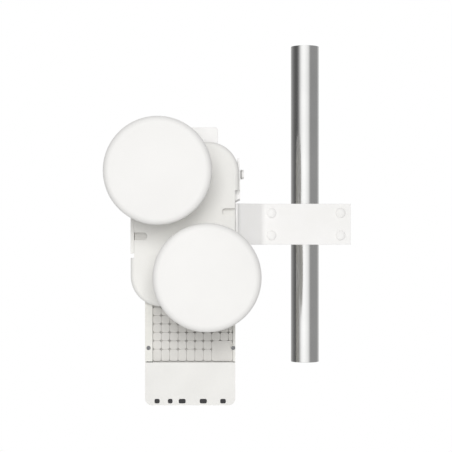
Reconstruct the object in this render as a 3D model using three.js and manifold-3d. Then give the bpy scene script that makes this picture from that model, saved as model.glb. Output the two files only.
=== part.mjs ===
// Outdoor wireless bridge on a stub of its mast.
// Millimetres. +X is right, +Y is away from the radomes, +Z is up.
// The origin is the mast's axis at the middle height of the mast clamp.
import * as THREE from "three";
import { mergeVertices } from "three/addons/utils/BufferGeometryUtils.js";
import Module from "manifold-3d";

const wasm = await Module();
wasm.setup();

// ---------------------------------------------------------------- driving dimensions

const GAP = 0.3; // between pieces that touch
const PAST = 1; // how far a cutting tool reaches past a face

const MAST_RADIUS = 30.15; // 2 inch nominal pipe
const MAST_WALL = 3.2;
const MAST_TOP = 383;
const MAST_BOTTOM = -296;
const MAST_SIDES = 40;

const SHEET = 5; // steel sheet of the clamp plate and its arm
const PLATE_FRONT = -44; // the clamp plate's front face
const PLATE_LEFT = -92.6;
const PLATE_RIGHT = 95;
const PLATE_HALF_HEIGHT = 43.5;
const BOLT_X = 73.5;
const BOLT_Z = 23.9;
const BOLT_RADIUS = 4; // M8
const BOLT_HOLE = 4.6;
const BOLT_HEAD_RADIUS = 10.3;
const BOLT_HEAD_HEIGHT = 4.9;
const BOLT_TAIL = 24; // past the rear jaw
const NUT_HEIGHT = 8;
const NUT_CORNER_RADIUS = 7.5;
const NUT_FLANGE_RADIUS = 9;
const NUT_FLANGE_HEIGHT = 1.6;
const JAW_HALF_HEIGHT = 33;
const JAW_FRONT = 24;
const JAW_BACK = 50;
const SADDLE_HALF_WIDTH = 46;
const JAW_HALF_WIDTH = 87;
const JAW_WALL = 5;
const JAW_POCKET = [24, 58]; // the pockets' limits on each side of the mast

const HEAD_X = -255; // middle of the antenna head
const COVER_HALF_WIDTH = 110.6;
const COVER_HALF_HEIGHT = 168.5;
const COVER_CORNER = 62;
const COVER_FRONT = -160;
const COVER_BACK = -136;
const COVER_EDGE = 9; // rounding of the cover's front edge
const SKIN = 3;
const FEED_HOLE = 9;
const BLANK_RECESS = 1.5; // the blank's face behind the cover's
const BLANK_OPEN_END = 9;

const CHASSIS_HALF_WIDTH = 109.7;
const CHASSIS_TOP = 165;
const CHASSIS_BOTTOM = -116;
const CHASSIS_CORNER = 58;
const CHASSIS_LOWER_CORNER = 10;
const GASKET = 2; // seal between the cover and the chassis
const CHASSIS_BACK = -84;
const CHASSIS_WALL = 4;
const FIN_BACK = -66;
const FIN_SHEET = 3;
const CHASSIS_FINS = { count: 11, span: 150, limits: [-85, 140] };
const PIN_WINDOW = { depth: 10, halfWidth: 20, limits: [-10, 38] }; // behind the elevation pins

const NOTCH_TOP = 69.5; // the right notch; the left one is the same turned half round
const NOTCH_BOTTOM = -66.5;
const NOTCH_INNER_X = -151.7;
const SLOT_HEIGHT = 15.1;
const SLOT_LENGTH = 26.8;
const SLOT_MIDDLE_Z = 24.85;
const SLOT_FLOOR = -142; // the slots are blind recesses

const PIVOT_Y = -114; // elevation axis, along X
const PIN_RADIUS = 5; // M10
const PIN_TAIL = 9; // behind the bracket's sheet
const PIN_NUT_RADIUS = 8.5;
const PIN_NUT_HEIGHT = 6;
const TILT_SLOT_RADIUS = 25;
const TILT_LIMIT = 20; // degrees each way
const ARM_END_X = -148.7; // middle of the arm's end plate
const ARM_END_FRONT = -134;
const ARM_END_BACK = -94;
const BRACKET_FRONT = -134;
const BRACKET_BACK = -92;
const BRACKET_OUTER = -141;
const BRACKET_SHEET = 4;
const BRACKET_END = 136;
const BRACKET_FOOT = { low: 44, front: -124, room: 0.5 }; // thick feet beside the arm's end plate
const BRACKET_CONE = [49.6, 54.6]; // the feet are cut round the elevation axis, wider outwards, so that the arm can turn
const BRACKET_TUCK = 2.4; // the sheet's ends lean in by this
const BRACKET_TUCK_START = 108;
const SIDE_BOLT_Z = 103;
const SIDE_BOLT_LENGTH = 14; // inside the chassis
const SIDE_BOLT_WASHER = { radius: 8.4, height: 1 };
const SIDE_BOLT_HEAD = { cornerRadius: 9.8, height: 6.4 }; // 17 mm across flats
const STEP_ROOM = 2.5; // the chassis clears the bracket's step by this

const TRANSCEIVER = { half: 38, front: -146, back: -108 };
const BOARD_SHEET = 1.6;
const RADIO_BOARD = { halfWidth: 84, limits: [-104, 120] };
const HOOD = { right: -187.2, top: 200, front: -131, back: -92, wall: 3, corner: 5 };

const ANTENNA_DX = 48; // each antenna's offset from the head's middle
const ANTENNA_DZ = 103.8;
const RADOME_RADIUS = 105.5;
const RADOME_FRONT = -335;
const RADOME_WALL = 3;
const RADOME_DOME = 6; // how far the face bulges
const RADOME_ROUND = 15; // rounding of the rim
const RADOME_BACK = -294;
const DISH_RIM = -306;
const DISH_CENTRE = -243;
const DISH_WALL = 3;
const DISH_CURVE = 0.0048; // parabola, per mm
const DISH_HOLE = 7.5;
const SEAL = 3; // the seal's width and height
const FEED_TUBE = { outer: 6.5, bore: 4, front: -296, back: -146.4 };
const SPLASH_FRONT = -309;
const NECK_MOUTH = 58;
const NECK_RADIUS = 50;
const NECK_FLANGE = 60;
const NECK_WALL = 4;

const UNIT_LEFT = -337.4;
const UNIT_RIGHT = -151.1;
const UNIT_TOP = -118.4;
const UNIT_BOTTOM = -373.7;
const UNIT_FRONT = -134;
const UNIT_BACK = -84;
const UNIT_WALL = 3;
const UNIT_CORNER = 14;
const BEZEL_BACK = -116;
const RECESS_LEFT = -321.9;
const RECESS_RIGHT = -155.9;
const RECESS_TOP = -154.2;
const BEZEL_BOTTOM = -283.4;
const PAD_PITCH = 17.4;
const PAD_GAP = 1.8;
const PAD_FRONT = -128;
const PAD_ROOT = -121;
const PAD_COLUMNS = 9;
const PAD_ROWS = 7;
const PAD_MARGIN = 7.5; // the lowest row of pads is taller by this
const BOSS_PAD = { column: 7, rows: 2 }; // one plain pad beside the right boss, from this column on
const SINK_LEDGE = 3.7; // the sink's base reaches down behind the gap over the door
const UNIT_FINS = { count: 9, span: 140, limits: [-320, -160] };
const OUTLET = { x: [-320, -168], y: [-127, -91] }; // cable outlet in the unit's bottom
const SCREWS = { left: -330.2, right: -155.6 };
const SCREW_Z = -255.5;
const SCREW_RADIUS = 4;
const BOSS_RADIUS = 5.4;
const MAIN_BOARD = { x: [-328, -161], front: -112, z: [-325, -130] };

const DOOR_TOP = -285.4;
const DOOR_SHEET = 3;
const DOOR_HINGE_Y = -129.5;
const DOOR_HINGE_Z = -291;
const HINGE_RADIUS = 1.5;
const HINGE_PIN = 13;
const BARREL_RADIUS = 3;
const BARREL_LENGTH = 10;
const DOOR_SWEEP = 7.5; // room that the door's top edge turns in
const SHELF_FRONT = -126;
const PANEL_BOTTOM = -333;
const PANEL_SHEET = 2;
const PORT_Y = -101;
const WINDOW_Z = -365.2;
const WINDOW_HEIGHT = 9;
const WINDOW_DEPTH = 1.4;
const WINDOW_CORNER = 3;
// the service windows from left to right: middle and width; the ports sit above them
const WINDOWS = [
  { x: -312.5, width: 10.3 },
  { x: -285.4, width: 9.3 },
  { x: -260.7, width: 14 },
  { x: -217.1, width: 14.4 },
  { x: -176.5, width: 11.3 },
];
// sockets: the window below, the outer width, depth and height, and the mouth's
const PORTS = [
  { name: "power_port", window: 0, outer: [18, 14, 16], mouth: [12, 8, 12], finish: "blackPlastic" },
  { name: "data_port", window: 2, outer: [16.4, 14.4, 18], mouth: [12, 8.4, 14], finish: "aluminium" },
  { name: "fibre_port", window: 3, outer: [15.6, 11.6, 26], mouth: [13.6, 9, 22], finish: "aluminium" },
];
const GROUND_SCREW = { x: WINDOWS[4].x, radius: 3, cornerRadius: 5.6, head: 4, length: 9 };
const BUTTON = { x: WINDOWS[1].x, radius: 3, front: 1.6, back: 4 };
const BUTTON_SWITCH = { size: 8, limits: [5.5, 11] };

const STRAP = { x: [-320, -190], sheet: 4, z: [-150, -92] };

// ---------------------------------------------------------------- solids

// A closed geometry as a manifold-3d solid, with its faces turned outwards.
function solid(geometry) {
  const bare = geometry.index ? geometry.toNonIndexed() : geometry.clone();
  bare.deleteAttribute("normal");
  bare.deleteAttribute("uv");
  const merged = mergeVertices(bare, 1e-4);
  const position = merged.getAttribute("position").array;
  const index = merged.index.array;
  const kept = [];
  let volume = 0;
  const corners = [new THREE.Vector3(), new THREE.Vector3(), new THREE.Vector3()];
  for (let i = 0; i < index.length; i += 3) {
    const triangle = [index[i], index[i + 1], index[i + 2]];
    if (new Set(triangle).size < 3) continue;
    triangle.forEach((vertex, corner) => corners[corner].fromArray(position, 3 * vertex));
    volume += corners[0].dot(corners[1].clone().cross(corners[2]));
    kept.push(triangle);
  }
  if (volume < 0) kept.forEach((triangle) => triangle.reverse());
  const mesh = new wasm.Mesh({
    numProp: 3,
    vertProperties: new Float32Array(position),
    triVerts: new Uint32Array(kept.flat()),
  });
  return new wasm.Manifold(mesh);
}

function geometryOf(body) {
  const mesh = body.getMesh();
  const geometry = new THREE.BufferGeometry();
  geometry.setAttribute("position", new THREE.BufferAttribute(mesh.vertProperties, 3));
  geometry.setIndex(new THREE.BufferAttribute(mesh.triVerts, 1));
  geometry.computeVertexNormals();
  return geometry;
}

const join = (...bodies) => bodies.reduce((whole, body) => whole.add(body));
const cut = (body, ...tools) => tools.reduce((rest, tool) => rest.subtract(tool), body);

// A box from its limits along each axis.
function block([x0, x1], [y0, y1], [z0, z1]) {
  const geometry = new THREE.BoxGeometry(x1 - x0, y1 - y0, z1 - z0);
  return solid(geometry.translate((x0 + x1) / 2, (y0 + y1) / 2, (z0 + z1) / 2));
}

// A round bar along "x", "y" or "z" from low to high; the two other coordinates give its axis.
function rod(along, radius, low, high, [a, b], sides = 16, turn = 0) {
  const geometry = new THREE.CylinderGeometry(radius, radius, high - low, sides);
  geometry.rotateY(turn);
  const middle = (low + high) / 2;
  if (along === "x") return solid(geometry.rotateZ(Math.PI / 2).translate(middle, a, b));
  if (along === "y") return solid(geometry.translate(a, middle, b));
  return solid(geometry.rotateX(Math.PI / 2).translate(a, b, middle));
}

// A cone's frustum along X, from its radius at low to its radius at high.
function cone([lowRadius, highRadius], low, high, [y, z], sides) {
  const geometry = new THREE.CylinderGeometry(lowRadius, highRadius, high - low, sides);
  return solid(geometry.rotateZ(Math.PI / 2).translate((low + high) / 2, y, z));
}

// A shape drawn in X and Z, thickened along Y from back to front.
function slab(shape, back, front, curveSegments = 6) {
  const settings = { depth: back - front, bevelEnabled: false, curveSegments };
  const geometry = new THREE.ExtrudeGeometry(shape, settings);
  return solid(geometry.rotateX(Math.PI / 2).translate(0, back, 0));
}

// The same with a rounded front edge.
function cushionedSlab(shape, back, front, edge, curveSegments = 6) {
  const settings = {
    depth: back - front,
    bevelThickness: edge,
    bevelSize: edge,
    bevelOffset: -edge,
    bevelSegments: 3,
    curveSegments,
  };
  const geometry = new THREE.ExtrudeGeometry(shape, settings);
  const whole = solid(geometry.rotateX(Math.PI / 2).translate(0, back + edge, 0));
  const far = 1000;
  return cut(whole, block([-far, far], [back, back + far], [-far, far]));
}

// An outline drawn in X and Y, thickened along Z.
function prism(points, bottom, top) {
  const shape = new THREE.Shape(points.map(([x, y]) => new THREE.Vector2(x, y)));
  const geometry = new THREE.ExtrudeGeometry(shape, { depth: top - bottom, bevelEnabled: false });
  return solid(geometry.translate(0, 0, bottom));
}

// A solid of revolution about a line along Y through (x, z); the profile holds [radius, y] points.
function turned(profile, [x, z], sides) {
  const points = profile.map(([radius, y]) => new THREE.Vector2(radius, y));
  return solid(new THREE.LatheGeometry(points, sides).translate(x, 0, z));
}

// Points of an arc in (radius, y), angles in degrees from the radius axis.
function arc(radius, y, size, from, to, steps) {
  return Array.from({ length: steps + 1 }, (_, i) => {
    const angle = THREE.MathUtils.degToRad(from + ((to - from) * i) / steps);
    return [radius + size * Math.cos(angle), y + size * Math.sin(angle)];
  });
}

// A rectangle from its limits with one radius on its top corners and one on its bottom corners.
function roundedRectangle([left, right], [bottom, top], bottomRadius, topRadius) {
  const shape = new THREE.Shape();
  const quarter = Math.PI / 2;
  if (bottomRadius > 0) {
    shape.absarc(left + bottomRadius, bottom + bottomRadius, bottomRadius, 2 * quarter, 3 * quarter);
    shape.absarc(right - bottomRadius, bottom + bottomRadius, bottomRadius, 3 * quarter, 4 * quarter);
  } else {
    shape.moveTo(left, bottom);
    shape.lineTo(right, bottom);
  }
  if (topRadius > 0) {
    shape.absarc(right - topRadius, top - topRadius, topRadius, 0, quarter);
    shape.absarc(left + topRadius, top - topRadius, topRadius, quarter, 2 * quarter);
  } else {
    shape.lineTo(right, top);
    shape.lineTo(left, top);
  }
  shape.closePath();
  return shape;
}

// ---------------------------------------------------------------- materials and placing

const FINISHES = {
  whitePaint: { color: 0xecebe6, roughness: 0.5, metalness: 0 },
  radome: { color: 0xf4f3ef, roughness: 0.45, metalness: 0 },
  castWhite: { color: 0xe4e3de, roughness: 0.6, metalness: 0 },
  stainless: { color: 0xb9b9b7, roughness: 0.25, metalness: 1 },
  zinc: { color: 0xc9c9c6, roughness: 0.35, metalness: 1 },
  darkSteel: { color: 0x57575a, roughness: 0.4, metalness: 1 },
  sinkWhite: { color: 0xd6d5d1, roughness: 0.6, metalness: 0 },
  aluminium: { color: 0xc2c4c6, roughness: 0.4, metalness: 1 },
  brass: { color: 0xb99a5b, roughness: 0.35, metalness: 1 },
  board: { color: 0x2f6b45, roughness: 0.6, metalness: 0 },
  rubber: { color: 0x2b2b2d, roughness: 0.8, metalness: 0 },
  blackPlastic: { color: 0x141416, roughness: 0.4, metalness: 0 },
  creamPlastic: { color: 0xe2dccb, roughness: 0.5, metalness: 0 },
};

const bridge = new THREE.Group();

function add(name, body, finish) {
  const mesh = new THREE.Mesh(geometryOf(body), new THREE.MeshStandardMaterial(FINISHES[finish]));
  mesh.name = name;
  bridge.add(mesh);
}

// ---------------------------------------------------------------- mast and clamp

function mast() {
  const outer = rod("z", MAST_RADIUS, MAST_BOTTOM, MAST_TOP, [0, 0], MAST_SIDES);
  const span = [MAST_BOTTOM - PAST, MAST_TOP + PAST];
  const bore = rod("z", MAST_RADIUS - MAST_WALL, ...span, [0, 0], MAST_SIDES);
  add("mast_pipe", cut(outer, bore), "stainless");
}

const boltPlaces = [-1, 1].flatMap((side) => [1, -1].map((row) => [side * BOLT_X, row * BOLT_Z]));

// Clamp plate and arm: one sheet, bent towards the radio and bent again into its end plate.
function clampArm() {
  const half = SHEET / 2;
  const plateMiddle = PLATE_FRONT + half;
  const slope = new THREE.Vector2(ARM_END_X - PLATE_LEFT, ARM_END_BACK - plateMiddle).normalize();
  const firstTurn = Math.atan2(-slope.y, -slope.x);
  const secondTurn = Math.PI / 2 - firstTurn;
  const first = half * Math.tan(firstTurn / 2);
  const second = half * Math.tan(secondTurn / 2);
  const outline = [
    [PLATE_RIGHT, PLATE_FRONT],
    [PLATE_RIGHT, PLATE_FRONT + SHEET],
    [PLATE_LEFT - first, PLATE_FRONT + SHEET],
    [ARM_END_X - half, ARM_END_BACK + second],
    [ARM_END_X - half, ARM_END_FRONT],
    [ARM_END_X + half, ARM_END_FRONT],
    [ARM_END_X + half, ARM_END_BACK - second],
    [PLATE_LEFT + first, PLATE_FRONT],
  ];
  const sheet = prism(outline, -PLATE_HALF_HEIGHT, PLATE_HALF_HEIGHT);
  const through = [PLATE_FRONT - PAST, PLATE_FRONT + SHEET + PAST];
  const boltHoles = boltPlaces.map((place) => rod("y", BOLT_HOLE, ...through, place));
  const across = [ARM_END_X - SHEET, ARM_END_X + SHEET];
  const pinHoles = [0, TILT_SLOT_RADIUS].map((z) => rod("x", PIN_RADIUS + GAP, ...across, [PIVOT_Y, z]));
  add("clamp_arm", cut(sheet, ...boltHoles, ...pinHoles), "whitePaint");
}

// Jaws with a 120 degree vee that holds the mast.
const VEE_DEPTH = (MAST_RADIUS + GAP) / Math.sin(Math.PI / 3);
const VEE_SLOPE = Math.tan(Math.PI / 6);

function frontSaddle() {
  const halfWidth = SADDLE_HALF_WIDTH;
  const back = PLATE_FRONT + SHEET + GAP;
  const tip = -VEE_DEPTH + halfWidth * VEE_SLOPE;
  const outline = [
    [-halfWidth, back],
    [halfWidth, back],
    [halfWidth, tip],
    [0, -VEE_DEPTH],
    [-halfWidth, tip],
  ];
  add("front_saddle", prism(outline, -JAW_HALF_HEIGHT, JAW_HALF_HEIGHT), "whitePaint");
}

function rearJaw() {
  const halfWidth = JAW_HALF_WIDTH;
  const veeHalf = (VEE_DEPTH - JAW_FRONT) / VEE_SLOPE;
  const outline = [
    [-halfWidth, JAW_FRONT],
    [-veeHalf, JAW_FRONT],
    [0, VEE_DEPTH],
    [veeHalf, JAW_FRONT],
    [halfWidth, JAW_FRONT],
    [halfWidth, JAW_BACK],
    [-halfWidth, JAW_BACK],
  ];
  const bar = prism(outline, -JAW_HALF_HEIGHT, JAW_HALF_HEIGHT);
  const pockets = [-1, 1].map((side) => {
    const limits = JAW_POCKET.map((x) => side * x).sort((a, b) => a - b);
    const height = JAW_HALF_HEIGHT - JAW_WALL;
    return block(limits, [JAW_FRONT + JAW_WALL, JAW_BACK + PAST], [-height, height]);
  });
  const through = [JAW_FRONT - PAST, JAW_BACK + PAST];
  const holes = boltPlaces.map((place) => rod("y", BOLT_HOLE, ...through, place));
  add("rear_jaw", cut(bar, ...pockets, ...holes), "whitePaint");
}

// Round-headed clamp bolts and their flanged nuts.
function clampFasteners() {
  const end = JAW_BACK + BOLT_TAIL;
  const seat = PLATE_FRONT - GAP;
  const dome = [0, 25, 50, 75].map((angle) => {
    const turn = THREE.MathUtils.degToRad(angle);
    return [BOLT_HEAD_RADIUS * Math.sin(turn), seat - BOLT_HEAD_HEIGHT * Math.cos(turn)];
  });
  const under = [[BOLT_HEAD_RADIUS, seat], [BOLT_RADIUS, seat], [BOLT_RADIUS, end], [0, end]];
  const nutSeat = JAW_BACK + GAP;
  const nutBack = nutSeat + NUT_HEIGHT;
  boltPlaces.forEach((place, i) => {
    add("clamp_bolt_" + (i + 1), turned([...dome, ...under], place, 16), "whitePaint");
    const hexagon = rod("y", NUT_CORNER_RADIUS, nutSeat + PAST, nutBack, place, 6);
    const flange = rod("y", NUT_FLANGE_RADIUS, nutSeat, nutSeat + NUT_FLANGE_HEIGHT, place);
    const bore = rod("y", BOLT_RADIUS + GAP, nutSeat - PAST, nutBack + PAST, place);
    add("clamp_nut_" + (i + 1), cut(join(hexagon, flange), bore), "zinc");
  });
}

// ---------------------------------------------------------------- side bracket and elevation pins

// A tall sheet on the chassis's right side, stepped in beside the arm's end plate, with a thick foot at each step.
function sideBracket() {
  const outer = BRACKET_OUTER;
  const inner = NOTCH_INNER_X;
  const { low, front, room } = BRACKET_FOOT;
  const top = NOTCH_TOP + STEP_ROOM - room;
  const bottom = NOTCH_BOTTOM - STEP_ROOM + room;
  const face = [
    [outer - BRACKET_TUCK, BRACKET_END],
    [outer, BRACKET_TUCK_START],
    [outer, low],
    [inner, low],
    [inner, -low],
    [outer, -low],
    [outer, -BRACKET_TUCK_START],
    [outer - BRACKET_TUCK, -BRACKET_END],
  ];
  const behind = [
    [outer - BRACKET_TUCK, -BRACKET_END],
    [outer, -BRACKET_TUCK_START],
    [outer, bottom],
    [inner, bottom],
    [inner, top],
    [outer, top],
    [outer, BRACKET_TUCK_START],
    [outer - BRACKET_TUCK, BRACKET_END],
  ].map(([x, z]) => [x - BRACKET_SHEET, z]);
  const shape = new THREE.Shape([...face, ...behind].map(([x, z]) => new THREE.Vector2(x, z)));
  const sheet = slab(shape, BRACKET_BACK, BRACKET_FRONT);
  const outwards = [inner, outer + PAST];
  const relief = [
    [low - PAST, NOTCH_TOP + room],
    [NOTCH_BOTTOM - room, PAST - low],
  ].map((height) => block(outwards, [BRACKET_FRONT - PAST, front], height));
  const turningRoom = cone(BRACKET_CONE, ...outwards, [PIVOT_Y, 0], 72);
  const across = [inner - 2 * BRACKET_SHEET, inner + PAST];
  const pivotHole = rod("x", PIN_RADIUS + GAP, ...across, [PIVOT_Y, 0], 24);
  const slotSteps = 4;
  const slot = Array.from({ length: slotSteps + 1 }, (_, i) => {
    const angle = THREE.MathUtils.degToRad(-TILT_LIMIT + (2 * TILT_LIMIT * i) / slotSteps);
    const place = [
      PIVOT_Y + TILT_SLOT_RADIUS * Math.sin(angle),
      TILT_SLOT_RADIUS * Math.cos(angle),
    ];
    return rod("x", PIN_RADIUS + 2 * GAP, ...across, place);
  });
  const boltSpan = [outer - 3 * BRACKET_SHEET, outer + PAST];
  const boltHoles = [-1, 1].map((side) =>
    rod("x", PIN_RADIUS + GAP, ...boltSpan, [PIVOT_Y, side * SIDE_BOLT_Z]),
  );
  const rooms = [...relief, turningRoom, pivotHole, join(...slot), ...boltHoles];
  add("side_bracket", cut(sheet, ...rooms), "whitePaint");
}

// Hexagon bolts that hold the bracket to the chassis.
function sideBolts() {
  const flatsUp = Math.PI / 6;
  const seat = BRACKET_OUTER + GAP;
  const washerFace = seat + SIDE_BOLT_WASHER.height;
  const headEnd = washerFace + SIDE_BOLT_HEAD.height;
  const tip = HEAD_X + CHASSIS_HALF_WIDTH - SIDE_BOLT_LENGTH;
  [["upper", 1], ["lower", -1]].forEach(([name, side]) => {
    const place = [PIVOT_Y, side * SIDE_BOLT_Z];
    const shank = rod("x", PIN_RADIUS, tip, washerFace, place);
    const disc = rod("x", SIDE_BOLT_WASHER.radius, seat, washerFace, place);
    const hexagon = rod("x", SIDE_BOLT_HEAD.cornerRadius, washerFace, headEnd, place, 6, flatsUp);
    add("side_bolt_" + name, join(shank, disc, hexagon), "whitePaint");
  });
}

// Pivot pin and lock pin: both are set in the arm's end plate and run in the bracket.
function elevationPins() {
  const outerFace = ARM_END_X + SHEET / 2;
  const innerEnd = NOTCH_INNER_X - BRACKET_SHEET - PIN_TAIL;
  const nutSeat = NOTCH_INNER_X - BRACKET_SHEET - GAP;
  [["pivot_pin", 0], ["tilt_lock_pin", TILT_SLOT_RADIUS]].forEach(([name, z]) => {
    const shank = rod("x", PIN_RADIUS, innerEnd, outerFace, [PIVOT_Y, z]);
    const nut = rod("x", PIN_NUT_RADIUS, nutSeat - PIN_NUT_HEIGHT, nutSeat, [PIVOT_Y, z], 6);
    add(name, join(shank, nut), "zinc");
  });
}

// ---------------------------------------------------------------- antenna head

const antennaPlaces = [
  ["upper", HEAD_X - ANTENNA_DX, ANTENNA_DZ],
  ["lower", HEAD_X + ANTENNA_DX, -ANTENNA_DZ],
];

const halfTurn = ([x, z]) => [2 * HEAD_X - x, -z];

const coverOutline = (inset) =>
  roundedRectangle(
    [HEAD_X - COVER_HALF_WIDTH + inset, HEAD_X + COVER_HALF_WIDTH - inset],
    [-COVER_HALF_HEIGHT + inset, COVER_HALF_HEIGHT - inset],
    COVER_CORNER - inset,
    COVER_CORNER - inset,
  );

// The side notch, on the right or turned half round to the left, made larger inwards and upright.
function notchTool(left, depthY, inwards = 0, upright = 0) {
  const corners = [
    [NOTCH_INNER_X - inwards, NOTCH_BOTTOM - upright],
    [NOTCH_INNER_X + COVER_CORNER, NOTCH_TOP + upright],
  ].map((corner) => (left ? halfTurn(corner) : corner));
  const limits = [0, 1].map((axis) => corners.map((corner) => corner[axis]).sort((a, b) => a - b));
  return block(limits[0], depthY, limits[1]);
}

// A horizontal slot that opens into the notch, with a round inner end, made larger all round.
function slotTool(left, depthY, larger = 0) {
  const radius = SLOT_HEIGHT / 2 + larger;
  const inner = [NOTCH_INNER_X - SLOT_LENGTH + SLOT_HEIGHT / 2, SLOT_MIDDLE_Z];
  const place = left ? halfTurn(inner) : inner;
  const outerX = left ? halfTurn([NOTCH_INNER_X, 0])[0] : NOTCH_INNER_X;
  const reach = [place[0], outerX + (left ? -1 : 1)].sort((a, b) => a - b);
  return join(
    rod("y", radius, ...depthY, place, 20),
    block(reach, depthY, [place[1] - radius, place[1] + radius]),
  );
}

function frontCover() {
  const outer = cushionedSlab(coverOutline(0), COVER_BACK, COVER_FRONT, COVER_EDGE);
  const inner = cushionedSlab(coverOutline(SKIN), COVER_BACK + 1, COVER_FRONT + SKIN, COVER_EDGE - SKIN);
  const through = [COVER_FRONT - 1, COVER_BACK + 2];
  const sides = [false, true];
  const toFloor = [COVER_FRONT - 1, SLOT_FLOOR];
  const keptSkin = sides.flatMap((left) => [
    notchTool(left, through, SKIN, SKIN),
    slotTool(left, [COVER_FRONT - 1, SLOT_FLOOR + SKIN], SKIN),
  ]);
  const room = cut(inner, ...keptSkin);
  const notches = sides.map((left) => notchTool(left, through));
  const slots = sides.map((left) => slotTool(left, toFloor));
  const feeds = antennaPlaces.map(([, x, z]) => rod("y", FEED_HOLE, ...through, [x, z], 20));
  add("front_cover", cut(outer, room, ...notches, ...slots, ...feeds), "whitePaint");
}

// A blank that fills the unused left notch and leaves its lower end open.
function notchBlank() {
  const left = HEAD_X - COVER_HALF_WIDTH;
  const right = halfTurn([NOTCH_INNER_X, 0])[0] - GAP;
  const top = -NOTCH_BOTTOM - GAP;
  const bottom = -NOTCH_TOP + BLANK_OPEN_END;
  const shape = roundedRectangle([left, right], [bottom, top], 0, 0);
  add("notch_blank", slab(shape, COVER_BACK, COVER_FRONT + BLANK_RECESS), "whitePaint");
}

// The chassis's outline, stepped in at both notches, and the room inside its walls.
function chassisSection(back, front, inset) {
  const outline = roundedRectangle(
    [HEAD_X - CHASSIS_HALF_WIDTH + inset, HEAD_X + CHASSIS_HALF_WIDTH - inset],
    [CHASSIS_BOTTOM + inset, CHASSIS_TOP - inset],
    CHASSIS_LOWER_CORNER - inset,
    CHASSIS_CORNER - inset,
  );
  const inwards = BRACKET_SHEET + GAP + inset;
  const steps = [false, true].map((left) =>
    notchTool(left, [front - 1, back + 1], inwards, STEP_ROOM + inset),
  );
  return cut(slab(outline, back, front), ...steps);
}

function headGasket() {
  const front = COVER_BACK + GAP;
  const back = front + GASKET;
  const ring = cut(chassisSection(back, front, 0), chassisSection(back + 1, front - 1, CHASSIS_WALL));
  add("head_gasket", ring, "rubber");
}

// Upright cooling fins on a casting's back.
function backFins({ count, span, limits }, middle, root) {
  return Array.from({ length: count }, (_, i) => {
    const x = middle - span / 2 + (span * i) / (count - 1);
    return block([x - FIN_SHEET / 2, x + FIN_SHEET / 2], [root - PAST, FIN_BACK], limits);
  });
}

// Cast tray behind the cover, with upright fins on its back.
function chassis() {
  const front = COVER_BACK + GASKET + 2 * GAP;
  const body = chassisSection(CHASSIS_BACK, front, 0);
  const hollow = chassisSection(CHASSIS_BACK - CHASSIS_WALL, front - PAST, CHASSIS_WALL);
  const fins = backFins(CHASSIS_FINS, HEAD_X, CHASSIS_BACK);
  const wallX = NOTCH_INNER_X - BRACKET_SHEET - GAP;
  const windowY = [PIVOT_Y - PIN_WINDOW.halfWidth, PIVOT_Y + PIN_WINDOW.halfWidth];
  const pinWindow = block([wallX - PIN_WINDOW.depth, wallX + PAST], windowY, PIN_WINDOW.limits);
  const rightX = HEAD_X + CHASSIS_HALF_WIDTH;
  const boltHoles = [-1, 1].map((side) =>
    rod("x", PIN_RADIUS + GAP, rightX - 10, rightX + PAST, [PIVOT_Y, side * SIDE_BOLT_Z]),
  );
  add("rear_chassis", cut(join(cut(body, hollow), ...fins), pinWindow, ...boltHoles), "castWhite");
}

// Transceiver boxes behind the two feeds, and the board that joins them.
function headElectronics() {
  const { half, front, back } = TRANSCEIVER;
  antennaPlaces.forEach(([name, x, z]) => {
    const low = Math.max(z - half, CHASSIS_BOTTOM + 2 * CHASSIS_WALL);
    const box = block([x - half, x + half], [front, back], [low, z + half]);
    add("transceiver_" + name, box, "aluminium");
  });
  const width = [HEAD_X - RADIO_BOARD.halfWidth, HEAD_X + RADIO_BOARD.halfWidth];
  const board = block(width, [back + GAP, back + GAP + BOARD_SHEET], RADIO_BOARD.limits);
  add("radio_board", board, "board");
}

// Folded sheet hood on top of the chassis, open at the back.
function topBracket() {
  const { right, top, front, back, wall, corner } = HOOD;
  const left = 2 * HEAD_X - right;
  const bottom = CHASSIS_TOP + GAP;
  const shell = slab(roundedRectangle([left, right], [bottom, top], 0, corner), back, front);
  const inside = [bottom + wall, top - wall];
  const pocket = block([left + wall, right - wall], [front + wall, back + PAST], inside);
  add("top_bracket", cut(shell, pocket), "whitePaint");
}

// ---------------------------------------------------------------- antennas

function radomeProfile(radius, front, round) {
  const faceRadius = radius - round;
  const sphere = (faceRadius ** 2 + RADOME_DOME ** 2) / (2 * RADOME_DOME);
  const steps = 3;
  const face = Array.from({ length: steps + 1 }, (_, i) => {
    const r = (faceRadius * i) / steps;
    return [r, front + sphere - Math.sqrt(sphere ** 2 - r ** 2)];
  });
  const rimStart = THREE.MathUtils.radToDeg(Math.asin(faceRadius / sphere));
  const rim = arc(faceRadius, front + RADOME_DOME + round, round, -90 + rimStart, 0, 3);
  return [...face, ...rim.slice(1)];
}

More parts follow.
